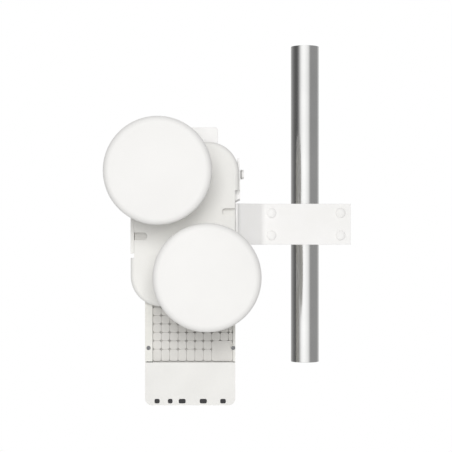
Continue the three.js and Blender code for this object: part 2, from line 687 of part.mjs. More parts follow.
function antenna([name, x, z]) {
  const axis = [x, z];
  const sides = 36;
  const outer = radomeProfile(RADOME_RADIUS, RADOME_FRONT, RADOME_ROUND);
  const inner = radomeProfile(
    RADOME_RADIUS - RADOME_WALL,
    RADOME_FRONT + RADOME_WALL,
    RADOME_ROUND - RADOME_WALL,
  );
  const skirt = [[RADOME_RADIUS, RADOME_BACK], [RADOME_RADIUS - RADOME_WALL, RADOME_BACK]];
  add("radome_" + name, turned([...outer, ...skirt, ...inner.reverse()], axis, sides), "radome");

  const dishRadius = RADOME_RADIUS - RADOME_WALL - GAP;
  const mouth = dishRadius - DISH_WALL;
  const parabola = (r) => DISH_CENTRE - DISH_CURVE * r ** 2;
  const steps = 5;
  const radii = Array.from(
    { length: steps + 1 },
    (_, i) => DISH_HOLE + ((mouth - DISH_HOLE) * i) / steps,
  );
  const bowl = radii.map((r) => [r, parabola(r)]);
  const shell = radii.map((r) => [r, parabola(r) + DISH_WALL]).reverse();
  const lip = [[mouth, DISH_RIM], [dishRadius, DISH_RIM], [dishRadius, parabola(mouth) + DISH_WALL]];
  add("dish_" + name, turned([...bowl, ...lip, ...shell, bowl[0]], axis, sides), "castWhite");

  const sealBack = DISH_RIM - GAP;
  const seal = [
    [mouth, sealBack],
    [mouth, sealBack - SEAL],
    [dishRadius, sealBack - SEAL],
    [dishRadius, sealBack],
    [mouth, sealBack],
  ];
  add("radome_seal_" + name, turned(seal, axis, sides), "rubber");

  const { outer: tube, bore, front: tubeFront, back: tubeBack } = FEED_TUBE;
  const feed = [[bore, tubeFront], [tube, tubeFront], [tube, tubeBack], [bore, tubeBack], [bore, tubeFront]];
  add("feed_tube_" + name, turned(feed, axis, 12), "brass");

  const splash = [
    [0, SPLASH_FRONT],
    [18, SPLASH_FRONT],
    [20, SPLASH_FRONT + 3],
    [tube + 1, tubeFront - GAP],
    [0, tubeFront - GAP],
  ];
  add("splash_plate_" + name, turned(splash, axis, 18), "creamPlastic");

  const neckInner = NECK_MOUTH - NECK_WALL;
  const neckFront = parabola(neckInner) + DISH_WALL + GAP;
  const seat = COVER_FRONT - GAP;
  const neck = [
    [NECK_MOUTH, neckFront],
    [NECK_MOUTH, neckFront + 6],
    [NECK_RADIUS, neckFront + 22],
    [NECK_RADIUS, seat - 12],
    [NECK_RADIUS + 3, seat - 8],
    [NECK_FLANGE, seat - 7],
    [NECK_FLANGE, seat],
    [NECK_RADIUS - NECK_WALL, seat],
    [NECK_RADIUS - NECK_WALL, neckFront + 22],
    [neckInner, neckFront + 8],
    [neckInner, neckFront],
    [NECK_MOUTH, neckFront],
  ];
  add("neck_" + name, turned(neck, axis, 24), "castWhite");
}

// ---------------------------------------------------------------- lower radio unit

const unitOutline = (top, inset, radius) =>
  roundedRectangle([UNIT_LEFT + inset, UNIT_RIGHT - inset], [UNIT_BOTTOM + inset, top], radius, 0);

// Rear tray; below the bezel its walls run forward round the port bay.
function unitCase() {
  const bayTop = DOOR_TOP - 2;
  const doorBack = UNIT_FRONT + DOOR_SHEET + GAP;
  const tray = slab(unitOutline(UNIT_TOP, 0, UNIT_CORNER), UNIT_BACK, BEZEL_BACK + GAP);
  const bay = slab(unitOutline(bayTop, 0, UNIT_CORNER), BEZEL_BACK + PAST, doorBack);
  const cavityTop = UNIT_TOP - UNIT_WALL;
  const cavity = slab(
    unitOutline(cavityTop, UNIT_WALL, UNIT_CORNER - UNIT_WALL),
    UNIT_BACK - UNIT_WALL,
    doorBack - PAST,
  );
  const outletZ = [UNIT_BOTTOM - PAST, UNIT_BOTTOM + UNIT_WALL + PAST];
  const outlet = block(OUTLET.x, OUTLET.y, outletZ);
  const doorRoom = block(
    [UNIT_LEFT - PAST, UNIT_RIGHT + PAST],
    [doorBack - PAST, DOOR_HINGE_Y + DOOR_SWEEP],
    [DOOR_HINGE_Z - GAP, DOOR_HINGE_Z + DOOR_SWEEP],
  );
  const fins = backFins(UNIT_FINS, (UNIT_LEFT + UNIT_RIGHT) / 2, UNIT_BACK);
  add("unit_case", cut(join(cut(join(tray, bay), cavity), ...fins), outlet, doorRoom), "castWhite");
}

// Front frame round the heat sink, open at the bottom, with a boss for each screw.
function unitBezel() {
  const outline = roundedRectangle([UNIT_LEFT, UNIT_RIGHT], [BEZEL_BOTTOM, UNIT_TOP], 0, 6);
  const frame = slab(outline, BEZEL_BACK, UNIT_FRONT);
  const window = block(
    [RECESS_LEFT, RECESS_RIGHT],
    [UNIT_FRONT - 1, BEZEL_BACK + 1],
    [BEZEL_BOTTOM - 1, RECESS_TOP],
  );
  const column = rod("y", BOSS_RADIUS, UNIT_FRONT, BEZEL_BACK, [SCREWS.right, SCREW_Z], 20);
  const outside = block(
    [UNIT_RIGHT, UNIT_RIGHT + 2 * BOSS_RADIUS],
    [UNIT_FRONT - PAST, BEZEL_BACK + PAST],
    [SCREW_Z - 2 * BOSS_RADIUS, SCREW_Z + 2 * BOSS_RADIUS],
  );
  const boss = cut(column, outside);
  const bores = Object.values(SCREWS).map((x) =>
    rod("y", SCREW_RADIUS + 0.4, UNIT_FRONT - PAST, UNIT_FRONT + 7, [x, SCREW_Z], 20),
  );
  add("unit_bezel", cut(join(cut(frame, window), boss), ...bores), "castWhite");
  Object.entries(SCREWS).forEach(([name, x]) => {
    const head = rod("y", SCREW_RADIUS, UNIT_FRONT + 0.6, UNIT_FRONT + 3.4, [x, SCREW_Z], 20);
    const shank = rod("y", SCREW_RADIUS / 2, UNIT_FRONT + 3, UNIT_FRONT + 6.7, [x, SCREW_Z], 12);
    const drive = rod("y", SCREW_RADIUS / 2, UNIT_FRONT - PAST, UNIT_FRONT + 2, [x, SCREW_Z], 6);
    add("bezel_screw_" + name, cut(join(head, shank), drive), "darkSteel");
  });
}

// Heat sink: a base plate with a square grid of pads; the last column is narrower.
function frontHeatSink() {
  const left = RECESS_LEFT + GAP;
  const right = RECESS_RIGHT - GAP;
  const top = RECESS_TOP - GAP;
  const base = block([left, right], [PAD_ROOT, BEZEL_BACK - 1], [BEZEL_BOTTOM - SINK_LEDGE, top]);
  const half = (PAD_PITCH - PAD_GAP) / 2;
  const firstX = left + PAD_PITCH / 2;
  const firstZ = BEZEL_BOTTOM + PAD_MARGIN + PAD_PITCH / 2;
  const boss = [SCREWS.right, SCREW_Z];
  const cornerX = firstX + (BOSS_PAD.column - 1) * PAD_PITCH + half + PAD_GAP;
  const cornerZ = firstZ + (BOSS_PAD.rows - 1) * PAD_PITCH + half;
  const padDepth = [PAD_FRONT, PAD_ROOT + 0.5];
  const pads = [block([cornerX, right], padDepth, [BEZEL_BOTTOM, cornerZ])];
  for (let row = 0; row < PAD_ROWS; row += 1) {
    for (let column = 0; column <= PAD_COLUMNS; column += 1) {
      const x = firstX + column * PAD_PITCH;
      const z = firstZ + row * PAD_PITCH;
      if (column >= BOSS_PAD.column && row < BOSS_PAD.rows) continue;
      const height = [row === 0 ? BEZEL_BOTTOM : z - half, Math.min(z + half, top)];
      pads.push(block([x - half, Math.min(x + half, right)], padDepth, height));
    }
  }
  const bossRoom = rod("y", BOSS_RADIUS + GAP, UNIT_FRONT - 1, BEZEL_BACK + 1, boss, 20);
  add("front_heat_sink", cut(join(base, ...pads), bossRoom), "sinkWhite");
}

function unitElectronics() {
  const { x, front, z } = MAIN_BOARD;
  add("main_board", block(x, [front, front + BOARD_SHEET], z), "board");
}

// A block from its middle, its width and depth, and its limits in height.
function centred(x, y, [width, depth], [bottom, top]) {
  return block([x - width / 2, x + width / 2], [y - depth / 2, y + depth / 2], [bottom, top]);
}

// Shelf in the port bay with its sockets opening downwards.
function portShelf() {
  const left = UNIT_LEFT + UNIT_WALL + GAP;
  const right = UNIT_RIGHT - UNIT_WALL - GAP;
  const top = PANEL_BOTTOM + PANEL_SHEET;
  const shelf = block([left, right], [SHELF_FRONT, UNIT_BACK - UNIT_WALL - GAP], [PANEL_BOTTOM, top]);
  const span = [PANEL_BOTTOM - PAST, top + PAST];
  const holes = PORTS.map(({ window, outer }) => {
    const room = [outer[0] + 2 * GAP, outer[1] + 2 * GAP];
    return centred(WINDOWS[window].x, PORT_Y, room, span);
  });
  const buttonHole = rod("z", BUTTON.radius + GAP, ...span, [BUTTON.x, PORT_Y], 20);
  const groundHole = rod("z", GROUND_SCREW.radius + GAP, ...span, [GROUND_SCREW.x, PORT_Y]);
  add("port_shelf", cut(shelf, ...holes, buttonHole, groundHole), "aluminium");
}

function portSockets() {
  const lip = 0.5;
  PORTS.forEach(({ name, window, outer, mouth, finish }) => {
    const { x } = WINDOWS[window];
    const body = centred(x, PORT_Y, outer, [PANEL_BOTTOM - lip, PANEL_BOTTOM + outer[2]]);
    const opening = centred(x, PORT_Y, mouth, [PANEL_BOTTOM - lip - PAST, PANEL_BOTTOM + mouth[2]]);
    add(name, cut(body, opening), finish);
  });
}

function groundScrew() {
  const { x, radius, cornerRadius, head, length } = GROUND_SCREW;
  const seat = PANEL_BOTTOM - GAP;
  const hexagon = rod("z", cornerRadius, seat - head, seat, [x, PORT_Y], 6);
  const shank = rod("z", radius, seat - PAST, PANEL_BOTTOM + length, [x, PORT_Y]);
  add("ground_screw", join(hexagon, shank), "brass");
}

// Recessed push button; it travels up into its switch.
function resetButton() {
  const { x, radius, front, back } = BUTTON;
  const cap = rod("z", radius, PANEL_BOTTOM - front, PANEL_BOTTOM + back, [x, PORT_Y], 20);
  add("reset_button", cap, "creamPlastic");
  const limits = BUTTON_SWITCH.limits.map((height) => PANEL_BOTTOM + height);
  const body = centred(x, PORT_Y, [BUTTON_SWITCH.size, BUTTON_SWITCH.size], limits);
  add("reset_switch", body, "blackPlastic");
}

// Door over the port bay: it swings up about two pins behind its top edge.
function portDoor() {
  const outline = roundedRectangle([UNIT_LEFT, UNIT_RIGHT], [UNIT_BOTTOM, DOOR_TOP], UNIT_CORNER, 0);
  const plate = slab(outline, UNIT_FRONT + DOOR_SHEET, UNIT_FRONT);
  const hinge = [DOOR_HINGE_Y, DOOR_HINGE_Z];
  const inset = UNIT_WALL + 2;
  const barrels = [
    [UNIT_LEFT + inset, UNIT_LEFT + inset + BARREL_LENGTH],
    [UNIT_RIGHT - inset - BARREL_LENGTH, UNIT_RIGHT - inset],
  ].map((limits) => {
    const height = [DOOR_HINGE_Z - BARREL_RADIUS, DOOR_HINGE_Z + BARREL_RADIUS];
    const web = block(limits, [UNIT_FRONT + PAST, DOOR_HINGE_Y], height);
    return join(web, rod("x", BARREL_RADIUS, ...limits, hinge));
  });
  const bore = rod("x", HINGE_RADIUS + GAP, UNIT_LEFT + UNIT_WALL, UNIT_RIGHT - UNIT_WALL, hinge);
  const pockets = WINDOWS.map(({ x, width }) => {
    const room = windowShape(x, width + 2 * GAP, WINDOW_HEIGHT + 2 * GAP);
    return slab(room, UNIT_FRONT + WINDOW_DEPTH, UNIT_FRONT - PAST, 2);
  });
  add("port_door", cut(join(plate, ...barrels), bore, ...pockets), "castWhite");
  WINDOWS.forEach(({ x, width }, i) => {
    const shape = windowShape(x, width, WINDOW_HEIGHT);
    const lens = slab(shape, UNIT_FRONT + WINDOW_DEPTH - GAP, UNIT_FRONT, 2);
    add("status_window_" + (i + 1), lens, "blackPlastic");
  });
  const ends = { left: UNIT_LEFT + UNIT_WALL + GAP, right: UNIT_RIGHT - UNIT_WALL - GAP - HINGE_PIN };
  Object.entries(ends).forEach(([name, start]) => {
    add("hinge_pin_" + name, rod("x", HINGE_RADIUS, start, start + HINGE_PIN, hinge, 12), "stainless");
  });
}

function windowShape(x, width, height) {
  return roundedRectangle(
    [x - width / 2, x + width / 2],
    [WINDOW_Z - height / 2, WINDOW_Z + height / 2],
    WINDOW_CORNER,
    WINDOW_CORNER,
  );
}

// Strap that ties the unit's back to the chassis's back.
function linkStrap() {
  const front = UNIT_BACK + GAP;
  add("link_strap", block(STRAP.x, [front, front + STRAP.sheet], STRAP.z), "whitePaint");
}

// ---------------------------------------------------------------- the whole object

mast();
clampArm();
frontSaddle();
rearJaw();
clampFasteners();
sideBracket();
sideBolts();
elevationPins();
frontCover();
notchBlank();
headGasket();
chassis();
headElectronics();
topBracket();
antennaPlaces.forEach(antenna);
unitCase();
unitBezel();
frontHeatSink();
unitElectronics();
portShelf();
portSockets();
groundScrew();
resetButton();
portDoor();
linkStrap();

export default bridge;
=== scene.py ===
# %% [markdown]
# # Outdoor wireless bridge on its mast clamp
# Two round radomes stand in front of a tall rounded head. A finned radio unit hangs under the head, and a folded
# steel arm clamps everything to a polished mast. The CAD parts come in as a fixed frame, in metres, with +X to the
# right, +Y away from the radomes and +Z up. Each piece below takes its place from that frame.

import math

import bmesh
import bpy
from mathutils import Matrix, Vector


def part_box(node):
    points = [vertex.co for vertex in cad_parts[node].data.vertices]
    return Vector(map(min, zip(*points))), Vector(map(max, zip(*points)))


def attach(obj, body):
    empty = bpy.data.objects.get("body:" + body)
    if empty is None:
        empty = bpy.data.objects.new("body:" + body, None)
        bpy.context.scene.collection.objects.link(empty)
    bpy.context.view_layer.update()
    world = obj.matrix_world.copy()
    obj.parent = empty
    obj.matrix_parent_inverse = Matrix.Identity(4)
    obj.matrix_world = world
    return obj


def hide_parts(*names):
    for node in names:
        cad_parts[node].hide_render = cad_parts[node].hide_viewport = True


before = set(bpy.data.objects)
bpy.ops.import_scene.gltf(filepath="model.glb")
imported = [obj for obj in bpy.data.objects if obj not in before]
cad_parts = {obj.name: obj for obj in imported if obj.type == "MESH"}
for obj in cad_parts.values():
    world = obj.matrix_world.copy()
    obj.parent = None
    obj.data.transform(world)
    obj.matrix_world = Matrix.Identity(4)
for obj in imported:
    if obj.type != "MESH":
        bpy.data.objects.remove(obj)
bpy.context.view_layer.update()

# %% [markdown]
# ## Measures
# Lengths are easiest to read in millimetres, so the shapes are written in them and turned to metres when a mesh is
# made. `limits` reads a CAD node's box, and most pieces start from it.

# %% Millimetres and places
MM = 0.001


def limits(node):
    """A CAD node's lowest and highest x, y and z in millimetres, as three pairs."""
    low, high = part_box(node)
    return [(low[k] / MM, high[k] / MM) for k in range(3)]


def middle(pair):
    return (pair[0] + pair[1]) / 2


def centre_xz(node):
    """The middle of a node's box across the Y axis."""
    box = limits(node)
    return middle(box[0]), middle(box[2])


print("mast:", [[round(v, 1) for v in pair] for pair in limits("mast_pipe")])

# %% [markdown]
# ## Finishes
# A finish is a tree of shader nodes on one Principled shader. One helper adds any node with its settings and links.
# Object coordinates are in metres, so a texture's scale is one over the grain's real size. Colours are written as
# the hex values a paint chart would give, and one function turns them to the linear values that shaders use.

# %% Node and colour helpers
def linear(code):
    """A hex colour as linear red, green, blue and alpha."""
    values = [int(code[i : i + 2], 16) / 255 for i in (0, 2, 4)]
    return [v / 12.92 if v <= 0.04045 else ((v + 0.055) / 1.055) ** 2.4 for v in values] + [1.0]


def add(tree, kind, settings=None, inputs=None):
    """A node of a tree with its settings; an input is a value or another node's output."""
    made = tree.nodes.new(kind)
    for key, value in (settings or {}).items():
        setattr(made, key, value)
    for key, value in (inputs or {}).items():
        if isinstance(value, bpy.types.NodeSocket):
            tree.links.new(value, made.inputs[key])
        else:
            made.inputs[key].default_value = value
    return made


def grain(tree, size, detail=2.0, stretch=(1, 1, 1), roughness=0.5):
    """Noise whose grains are about `size` millimetres across; stretch makes them longer along an axis."""
    place = add(tree, "ShaderNodeTexCoord")
    scale = [1 / s for s in stretch]
    fitted = add(tree, "ShaderNodeMapping", None, {"Vector": place.outputs["Object"], "Scale": scale})
    inputs = {"Vector": fitted.outputs[0], "Scale": 1 / (size * MM), "Detail": detail, "Roughness": roughness}
    return add(tree, "ShaderNodeTexNoise", None, inputs).outputs[0]


def between(tree, factor, low, high, start=0.3, end=0.7):
    """A number from low to high as the factor goes from start to end."""
    inputs = {"Value": factor, 1: start, 2: end, 3: low, 4: high}
    return add(tree, "ShaderNodeMapRange", None, inputs).outputs[0]


def finish(name, colour, shade, roughness, bumps, patch=60, **fixed):
    """A colour that drifts to a second shade in patches, a roughness range, and bumps (size, height, stretch)."""
    made = bpy.data.materials.new(name)
    made.use_nodes = True
    tree = made.node_tree
    shader = tree.nodes["Principled BSDF"]
    drift = between(tree, grain(tree, patch, 3.0), 0.0, 1.0)
    tint = add(tree, "ShaderNodeMix", {"data_type": "RGBA"}, {0: drift, 6: linear(colour), 7: linear(shade)})
    tree.links.new(tint.outputs[2], shader.inputs["Base Color"])
    rough = between(tree, grain(tree, bumps[0][0] * 6, 4.0, bumps[0][2]), *roughness)
    tree.links.new(rough, shader.inputs["Roughness"])
    normal = None
    for size, height, stretch in bumps:
        inputs = {"Height": grain(tree, size, 3.0, stretch), "Strength": 1.0, "Distance": height * MM}
        if normal is not None:
            inputs["Normal"] = normal
        normal = add(tree, "ShaderNodeBump", None, inputs).outputs[0]
    tree.links.new(normal, shader.inputs["Normal"])
    for socket, value in fixed.items():
        shader.inputs[socket.replace("_", " ")].default_value = value
    return made


EVEN = (1, 1, 1)
ALONG_Z = (1, 1, 120)

# %% [markdown]
# Powder coat is a baked plastic skin: fine orange peel about 1.5 mm across, and a satin gloss. The clamp and its
# arm have it on steel sheet. The castings have the same coat over a sand-like die-cast skin, so their grain is
# coarser and duller. The radomes are moulded ASA, smoother and a little greyer than the paint on steel, and the
# cover and the port door are moulded with a fine spark-eroded texture.

# %% White finishes
FINISH = {
    # satin coat on steel: a soft highlight broken by orange peel
    "white_paint": finish(
        "powder_coat_on_steel", "F9F8F7", "F6F5F3", (0.38, 0.48), [(1.5, 0.012, EVEN), (0.35, 0.004, EVEN)]
    ),
    # moulded cover: even and nearly matt, with a fine spark texture
    "cover_white": finish(
        "moulded_cover_plastic", "EEEDEA", "EAE9E6", (0.46, 0.56), [(0.6, 0.006, EVEN), (6.0, 0.02, EVEN)]
    ),
    # coated die casting: duller and grainier, slightly warmer
    "cast_white": finish(
        "powder_coat_on_casting", "EBEAE5", "E5E4DE", (0.5, 0.62), [(0.9, 0.02, EVEN), (5.0, 0.05, EVEN)], 35
    ),
    # heat sink: a greyer white, painted shade for the recess under the lower disc
    "sink_white": finish(
        "heat_sink_grey_as_painted_shade", "DFDDD9", "DAD8D4", (0.5, 0.62), [(0.9, 0.02, EVEN), (5.0, 0.04, EVEN)], 35
    ),
    # radome: smooth moulded skin, an even white with hardly any grain
    "radome_white": finish(
        "moulded_radome_asa", "EFEEEC", "ECEBE9", (0.42, 0.5), [(0.45, 0.003, EVEN), (30.0, 0.05, EVEN)], 120
    ),
}
print("white finishes:", sorted(FINISH))

# %% [markdown]
# Metals are told apart by their grain. The mast is drawn tube polished along its length, so its bump is a noise
# stretched 120 times along Z. Zinc has a faint spangle, bare aluminium is satin, and brass is turned. A metal
# keeps the shader's default IOR, because its colour already says what it reflects.

# %% Metals and dark finishes
FINISH.update(
    {
        # polished drawn tube: long streaks that only show in the highlight's edge
        "stainless": finish(
            "polished_stainless_tube", "D6D6D5", "CFCFCE", (0.13, 0.19), [(0.4, 0.0006, ALONG_Z)], 90, Metallic=1.0
        ),
        # zinc plate: pale, slightly blotched
        "zinc": finish("zinc_plated_steel", "D4D4D0", "C2C3C0", (0.26, 0.4), [(0.8, 0.004, EVEN)], 3, Metallic=1.0),
        # blackened screws: grey metal, darker than zinc, with a worn sheen
        "dark_steel": finish(
            "blackened_steel", "8C8C8E", "7E7E80", (0.34, 0.48), [(0.4, 0.004, EVEN)], 4, Metallic=1.0
        ),
        # bare aluminium: satin, with a fine grain
        "bare_aluminium": finish(
            "satin_aluminium", "CFD1D3", "C4C6C8", (0.3, 0.42), [(0.5, 0.004, EVEN)], 20, Metallic=1.0
        ),
        # turned brass: warm and bright
        "brass": finish("turned_brass", "C9A868", "B99455", (0.24, 0.34), [(0.3, 0.003, EVEN)], 8, Metallic=1.0),
        # circuit board under solder mask
        "board_green": finish("solder_mask", "2E6B47", "275D3D", (0.35, 0.5), [(0.8, 0.01, EVEN)], 15),
        # moulded rubber: dark, with a dusty bloom
        "rubber_black": finish("moulded_epdm_rubber", "2C2C2E", "363637", (0.68, 0.82), [(0.5, 0.01, EVEN)], 6),
        # smoked window plastic: nearly black and glossy
        "black_plastic": finish("smoked_window_plastic", "17171A", "1D1D20", (0.16, 0.26), [(1.2, 0.003, EVEN)], 12),
        # turned engineering plastic
        "cream_plastic": finish("turned_acetal", "E4DECF", "DCD5C4", (0.36, 0.48), [(0.5, 0.004, EVEN)], 8),
    }
)
print("all finishes:", len(FINISH))

# %% [markdown]
# ## Making meshes
# Nearly every piece is a skin over a row of rings. A turned part's rings are circles, a moulded cover's rings are
# its outline drawn smaller and smaller towards the rounded front edge, and a sheet's rings are its section. So one
# helper skins rings, and another rounds the corners of a profile, as a cutter's nose radius would.

# %% Rings, profiles and outlines
def skin(rings, loop=False):
    """A closed mesh over rings of equally many points; the ends are capped, unless the rings loop back."""
    made = bmesh.new()
    rows = [[made.verts.new(Vector(point) * MM) for point in ring] for ring in rings]
    pairs = list(zip(rows, rows[1:] + rows[:1])) if loop else list(zip(rows, rows[1:]))
    for low, high in pairs:
        for i in range(len(low)):
            j = (i + 1) % len(low)
            made.faces.new((low[i], low[j], high[j], high[i]))
    if not loop:
        made.faces.new(rows[0][::-1])
        made.faces.new(rows[-1])
    bmesh.ops.recalc_face_normals(made, faces=made.faces)
    return made


def eased(points, radius, closed=False, steps=4):
    """A profile with its corners rounded; a corner's curve takes at most 45% of its shorter side."""
    points = [Vector(point) for point in points]
    made = []
    for i, corner in enumerate(points):
        if not closed and i in (0, len(points) - 1):
            made.append(corner)
            continue
        before, after = points[i - 1], points[(i + 1) % len(points)]
        room = min(radius, 0.45 * (before - corner).length, 0.45 * (after - corner).length)
        start = corner + (before - corner).normalized() * room
        end = corner + (after - corner).normalized() * room
        for k in range(steps + 1):
            t = k / steps
            made.append((1 - t) ** 2 * start + 2 * t * (1 - t) * corner + t**2 * end)
    return [tuple(point) for point in made]


def spot(axis, centre, u, v, along):
    """The point u and v across an axis through centre, and so far along it."""
    if axis == "x":
        return (along, centre[0] + u, centre[1] + v)
    if axis == "y":
        return (centre[0] + u, along, centre[1] + v)
    return (centre[0] + u, centre[1] + v, along)


def turned(axis, centre, profile, sides=96, loop=False):
    """A solid of revolution; the profile holds (radius, place along the axis)."""
    turns = [2 * math.pi * i / sides for i in range(sides)]
    rings = [[spot(axis, centre, r * math.cos(a), r * math.sin(a), w) for a in turns] for r, w in profile]
    return skin(rings, loop)


def corner_arc(x, z, radius, start, steps):
    """Points of a quarter circle about (x, z), from an angle in degrees."""
    turns = [math.radians(start + 90 * i / steps) for i in range(steps + 1)]
    return [(x + radius * math.cos(a), z + radius * math.sin(a)) for a in turns]


def rounded(left, right, bottom, top, low_radius, high_radius, steps=20):
    """A rectangle's outline with rounded corners, anticlockwise from its lower left."""
    return (
        corner_arc(left + low_radius, bottom + low_radius, low_radius, 180, steps)
        + corner_arc(right - low_radius, bottom + low_radius, low_radius, 270, steps)
        + corner_arc(right - high_radius, top - high_radius, high_radius, 0, steps)
        + corner_arc(left + high_radius, top - high_radius, high_radius, 90, steps)
    )


print("a quarter circle has", len(corner_arc(0, 0, 1, 0, 20)), "points")

# %% [markdown]
# Every finished piece rides on its CAD body, hides the CAD nodes it refines, and takes the material of its slot.
# Real edges are never knife sharp, so sheet and cast pieces get a small bevel. Weighted normals then keep the large
# faces flat in the light while the narrow bevels turn smoothly.

# %% Piece helpers
def piece(name, made, body, slot, stands_for=(), edge=0.0, turn=40, steps=2):
    """Turns a bmesh into a finished piece; edge is its bevel in mm, turn the angle that counts as an edge."""
    mesh = bpy.data.meshes.new(name)
    made.to_mesh(mesh)
    made.free()
    made_object = bpy.data.objects.new(name, mesh)
    bpy.context.scene.collection.objects.link(made_object)
    return dressed(made_object, body, slot, stands_for, edge, turn, steps)


def dressed(made_object, body, slot, stands_for=(), edge=0.0, turn=40, steps=2):
    """The slot's material, soft edges and a body for an object whose mesh is final; the CAD nodes it stands for are
    hidden.
    """
    made_object.data.materials.clear()
    made_object.data.materials.append(FINISH[slot])
    soften(made_object, edge, turn, steps)
    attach(made_object, body)
    if stands_for:
        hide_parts(*stands_for)
    return made_object


def soften(target, edge, turn=40, steps=2):
    """Bevelled edges and weighted normals."""
    target.data.shade_smooth()
    if edge > 0:
        bevel = target.modifiers.new("edge", "BEVEL")
        bevel.width = edge * MM
        bevel.segments = steps
        bevel.limit_method = "ANGLE"
        bevel.angle_limit = math.radians(turn)
        bevel.miter_outer = "MITER_ARC"
    weighted = target.modifiers.new("flat faces", "WEIGHTED_NORMAL")
    weighted.keep_sharp = True
    weighted.weight = 80


def kept(node, slot, edge=0.5, turn=40):
    """A CAD node whose shape is right: it stays, with its triangles merged, soft edges and a finish."""
    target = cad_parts[node]
    target.data.materials.clear()
    target.data.materials.append(FINISH[slot])
    weld = target.modifiers.new("weld", "WELD")
    weld.merge_threshold = 0.001 * MM
    flat = target.modifiers.new("flat", "DECIMATE")
    flat.decimate_type = "DISSOLVE"
    flat.angle_limit = math.radians(0.5)
    soften(target, edge, turn)
    return target


def combined(base, tools, operation="DIFFERENCE"):
    """A bmesh cut by, or joined with, other bmeshes."""
    parts = []
    for made in [base, *tools]:
        mesh = bpy.data.meshes.new("part")
        made.to_mesh(mesh)
        made.free()
        part = bpy.data.objects.new("part", mesh)
        bpy.context.scene.collection.objects.link(part)
        parts.append(part)
    for tool in parts[1:]:
        step = parts[0].modifiers.new("step", "BOOLEAN")
        step.operation = operation
        step.solver = "EXACT"
        step.object = tool
    evaluated = parts[0].evaluated_get(bpy.context.evaluated_depsgraph_get())
    result = bmesh.new()
    result.from_mesh(bpy.data.meshes.new_from_object(evaluated))
    for part in parts:
        bpy.data.objects.remove(part)
    bmesh.ops.remove_doubles(result, verts=result.verts, dist=0.002 * MM)
    return result


def box_mesh(x, y, z):
    """A plain box, used as a cutting tool or a blank."""
    corners = [(x[0], z[0]), (x[1], z[0]), (x[1], z[1]), (x[0], z[1])]
    return skin([[(a, w, b) for a, b in corners] for w in y])


print("helpers ready")

# %% [markdown]
# ## The mast
# The mast is a length of polished stainless tube, sawn square with its edges broken. It could be a plain cylinder,
# but its cut ends show the wall, so it is a ring profile turned round the axis: outer skin, end, bore, other end.

# %% Mast
mast_x, _, mast_z = limits("mast_pipe")
MAST_RADIUS = (mast_x[1] - mast_x[0]) / 2
MAST_WALL = 3.2
bore = MAST_RADIUS - MAST_WALL
tube = [(MAST_RADIUS, mast_z[0]), (MAST_RADIUS, mast_z[1]), (bore, mast_z[1]), (bore, mast_z[0])]
axis = (0, 0)
piece("mast_tube", turned("z", axis, eased(tube, 0.6, True, 3), 128, True), "mast", "stainless", ["mast_pipe"])
print("mast radius:", round(MAST_RADIUS, 2), "length:", round(mast_z[1] - mast_z[0], 1))

# %% [markdown]
# ## Clamp and arm
# One steel sheet is folded twice: the clamp plate across the mast, a slanting arm, and an end plate that holds the
# elevation pins. A press brake leaves an inside radius about as large as the sheet is thick, so the sheet's
# section follows a centre line with rounded bends and is then drawn out over the plate's height.

# %% Clamp arm
SHEET = 5.0
arm_x, arm_y, arm_z = limits("clamp_arm")
PLATE_LEFT = -92.6
plate_y = arm_y[1] - SHEET / 2
end_x = arm_x[0] + SHEET / 2
END_BACK = -94.0


def sheet_section(line, sheet):
    """Both sides of a folded sheet from its centre line, as one outline."""
    sides = ([], [])
    for i, point in enumerate(line):
        before = Vector(line[max(i - 1, 0)])
        after = Vector(line[min(i + 1, len(line) - 1)])
        way = (after - before).normalized()
        across = Vector((-way.y, way.x)) * sheet / 2
        sides[0].append(tuple(Vector(point) + across))
        sides[1].append(tuple(Vector(point) - across))
    return sides[0] + sides[1][::-1]


fold = [(end_x, arm_y[0]), (end_x, END_BACK), (PLATE_LEFT, plate_y), (arm_x[1], plate_y)]
section = sheet_section(eased(fold, 7.0, False, 8), SHEET)
arm = skin([[(x, y, z) for x, y in section] for z in arm_z])
piece("clamp_arm_folded", arm, "clamp", "white_paint", ["clamp_arm"], 0.7, 60, 3)
for node in ("front_saddle", "rear_jaw"):
    kept(node, "white_paint", 1.0)
print("fold points:", len(section))

# %% [markdown]
# Four round-headed bolts pull the jaws together. Their heads are painted over with the plate and show only as soft
# domes. A nut is a hexagon whose corners were turned off at 30 degrees, on a round flange. The hexagon's outline is
# sampled all round, so the chamfer's scalloped line comes out by itself.

# %% Bolts and nuts
def hexagon(across_flats, angle, turn=0.0):
    """The hexagon's radius at an angle."""
    sixth = math.pi / 3
    return across_flats / 2 / math.cos((angle - turn) % sixth - sixth / 2)


def hexagon_head(axis, centre, across_flats, low, high, turn=0.0, sides=72):
    """A hexagon from low to high along the axis, chamfered at high."""
    turns = [2 * math.pi * i / sides for i in range(sides)]
    radii = [hexagon(across_flats, a, turn) for a in turns]
    crown = 0.95 * across_flats / 2
    way = 1 if high > low else -1
    slope = math.tan(math.radians(30))
    shoulders = [high - way * (r - crown) * slope for r in radii]
    rows = [
        [(r, low) for r in radii],
        list(zip(radii, shoulders)),
        [(crown, high)] * sides,
        [(0.6 * crown, high)] * sides,
    ]
    return skin(
        [[spot(axis, centre, r * math.cos(a), r * math.sin(a), w) for a, (r, w) in zip(turns, row)] for row in rows]
    )


def joined(meshes):
    """Closed shells that touch, kept as one mesh."""
    first = meshes[0]
    for other in meshes[1:]:
        mesh = bpy.data.meshes.new("part")
        other.to_mesh(mesh)
        other.free()
        first.from_mesh(mesh)
        bpy.data.meshes.remove(mesh)
    return first


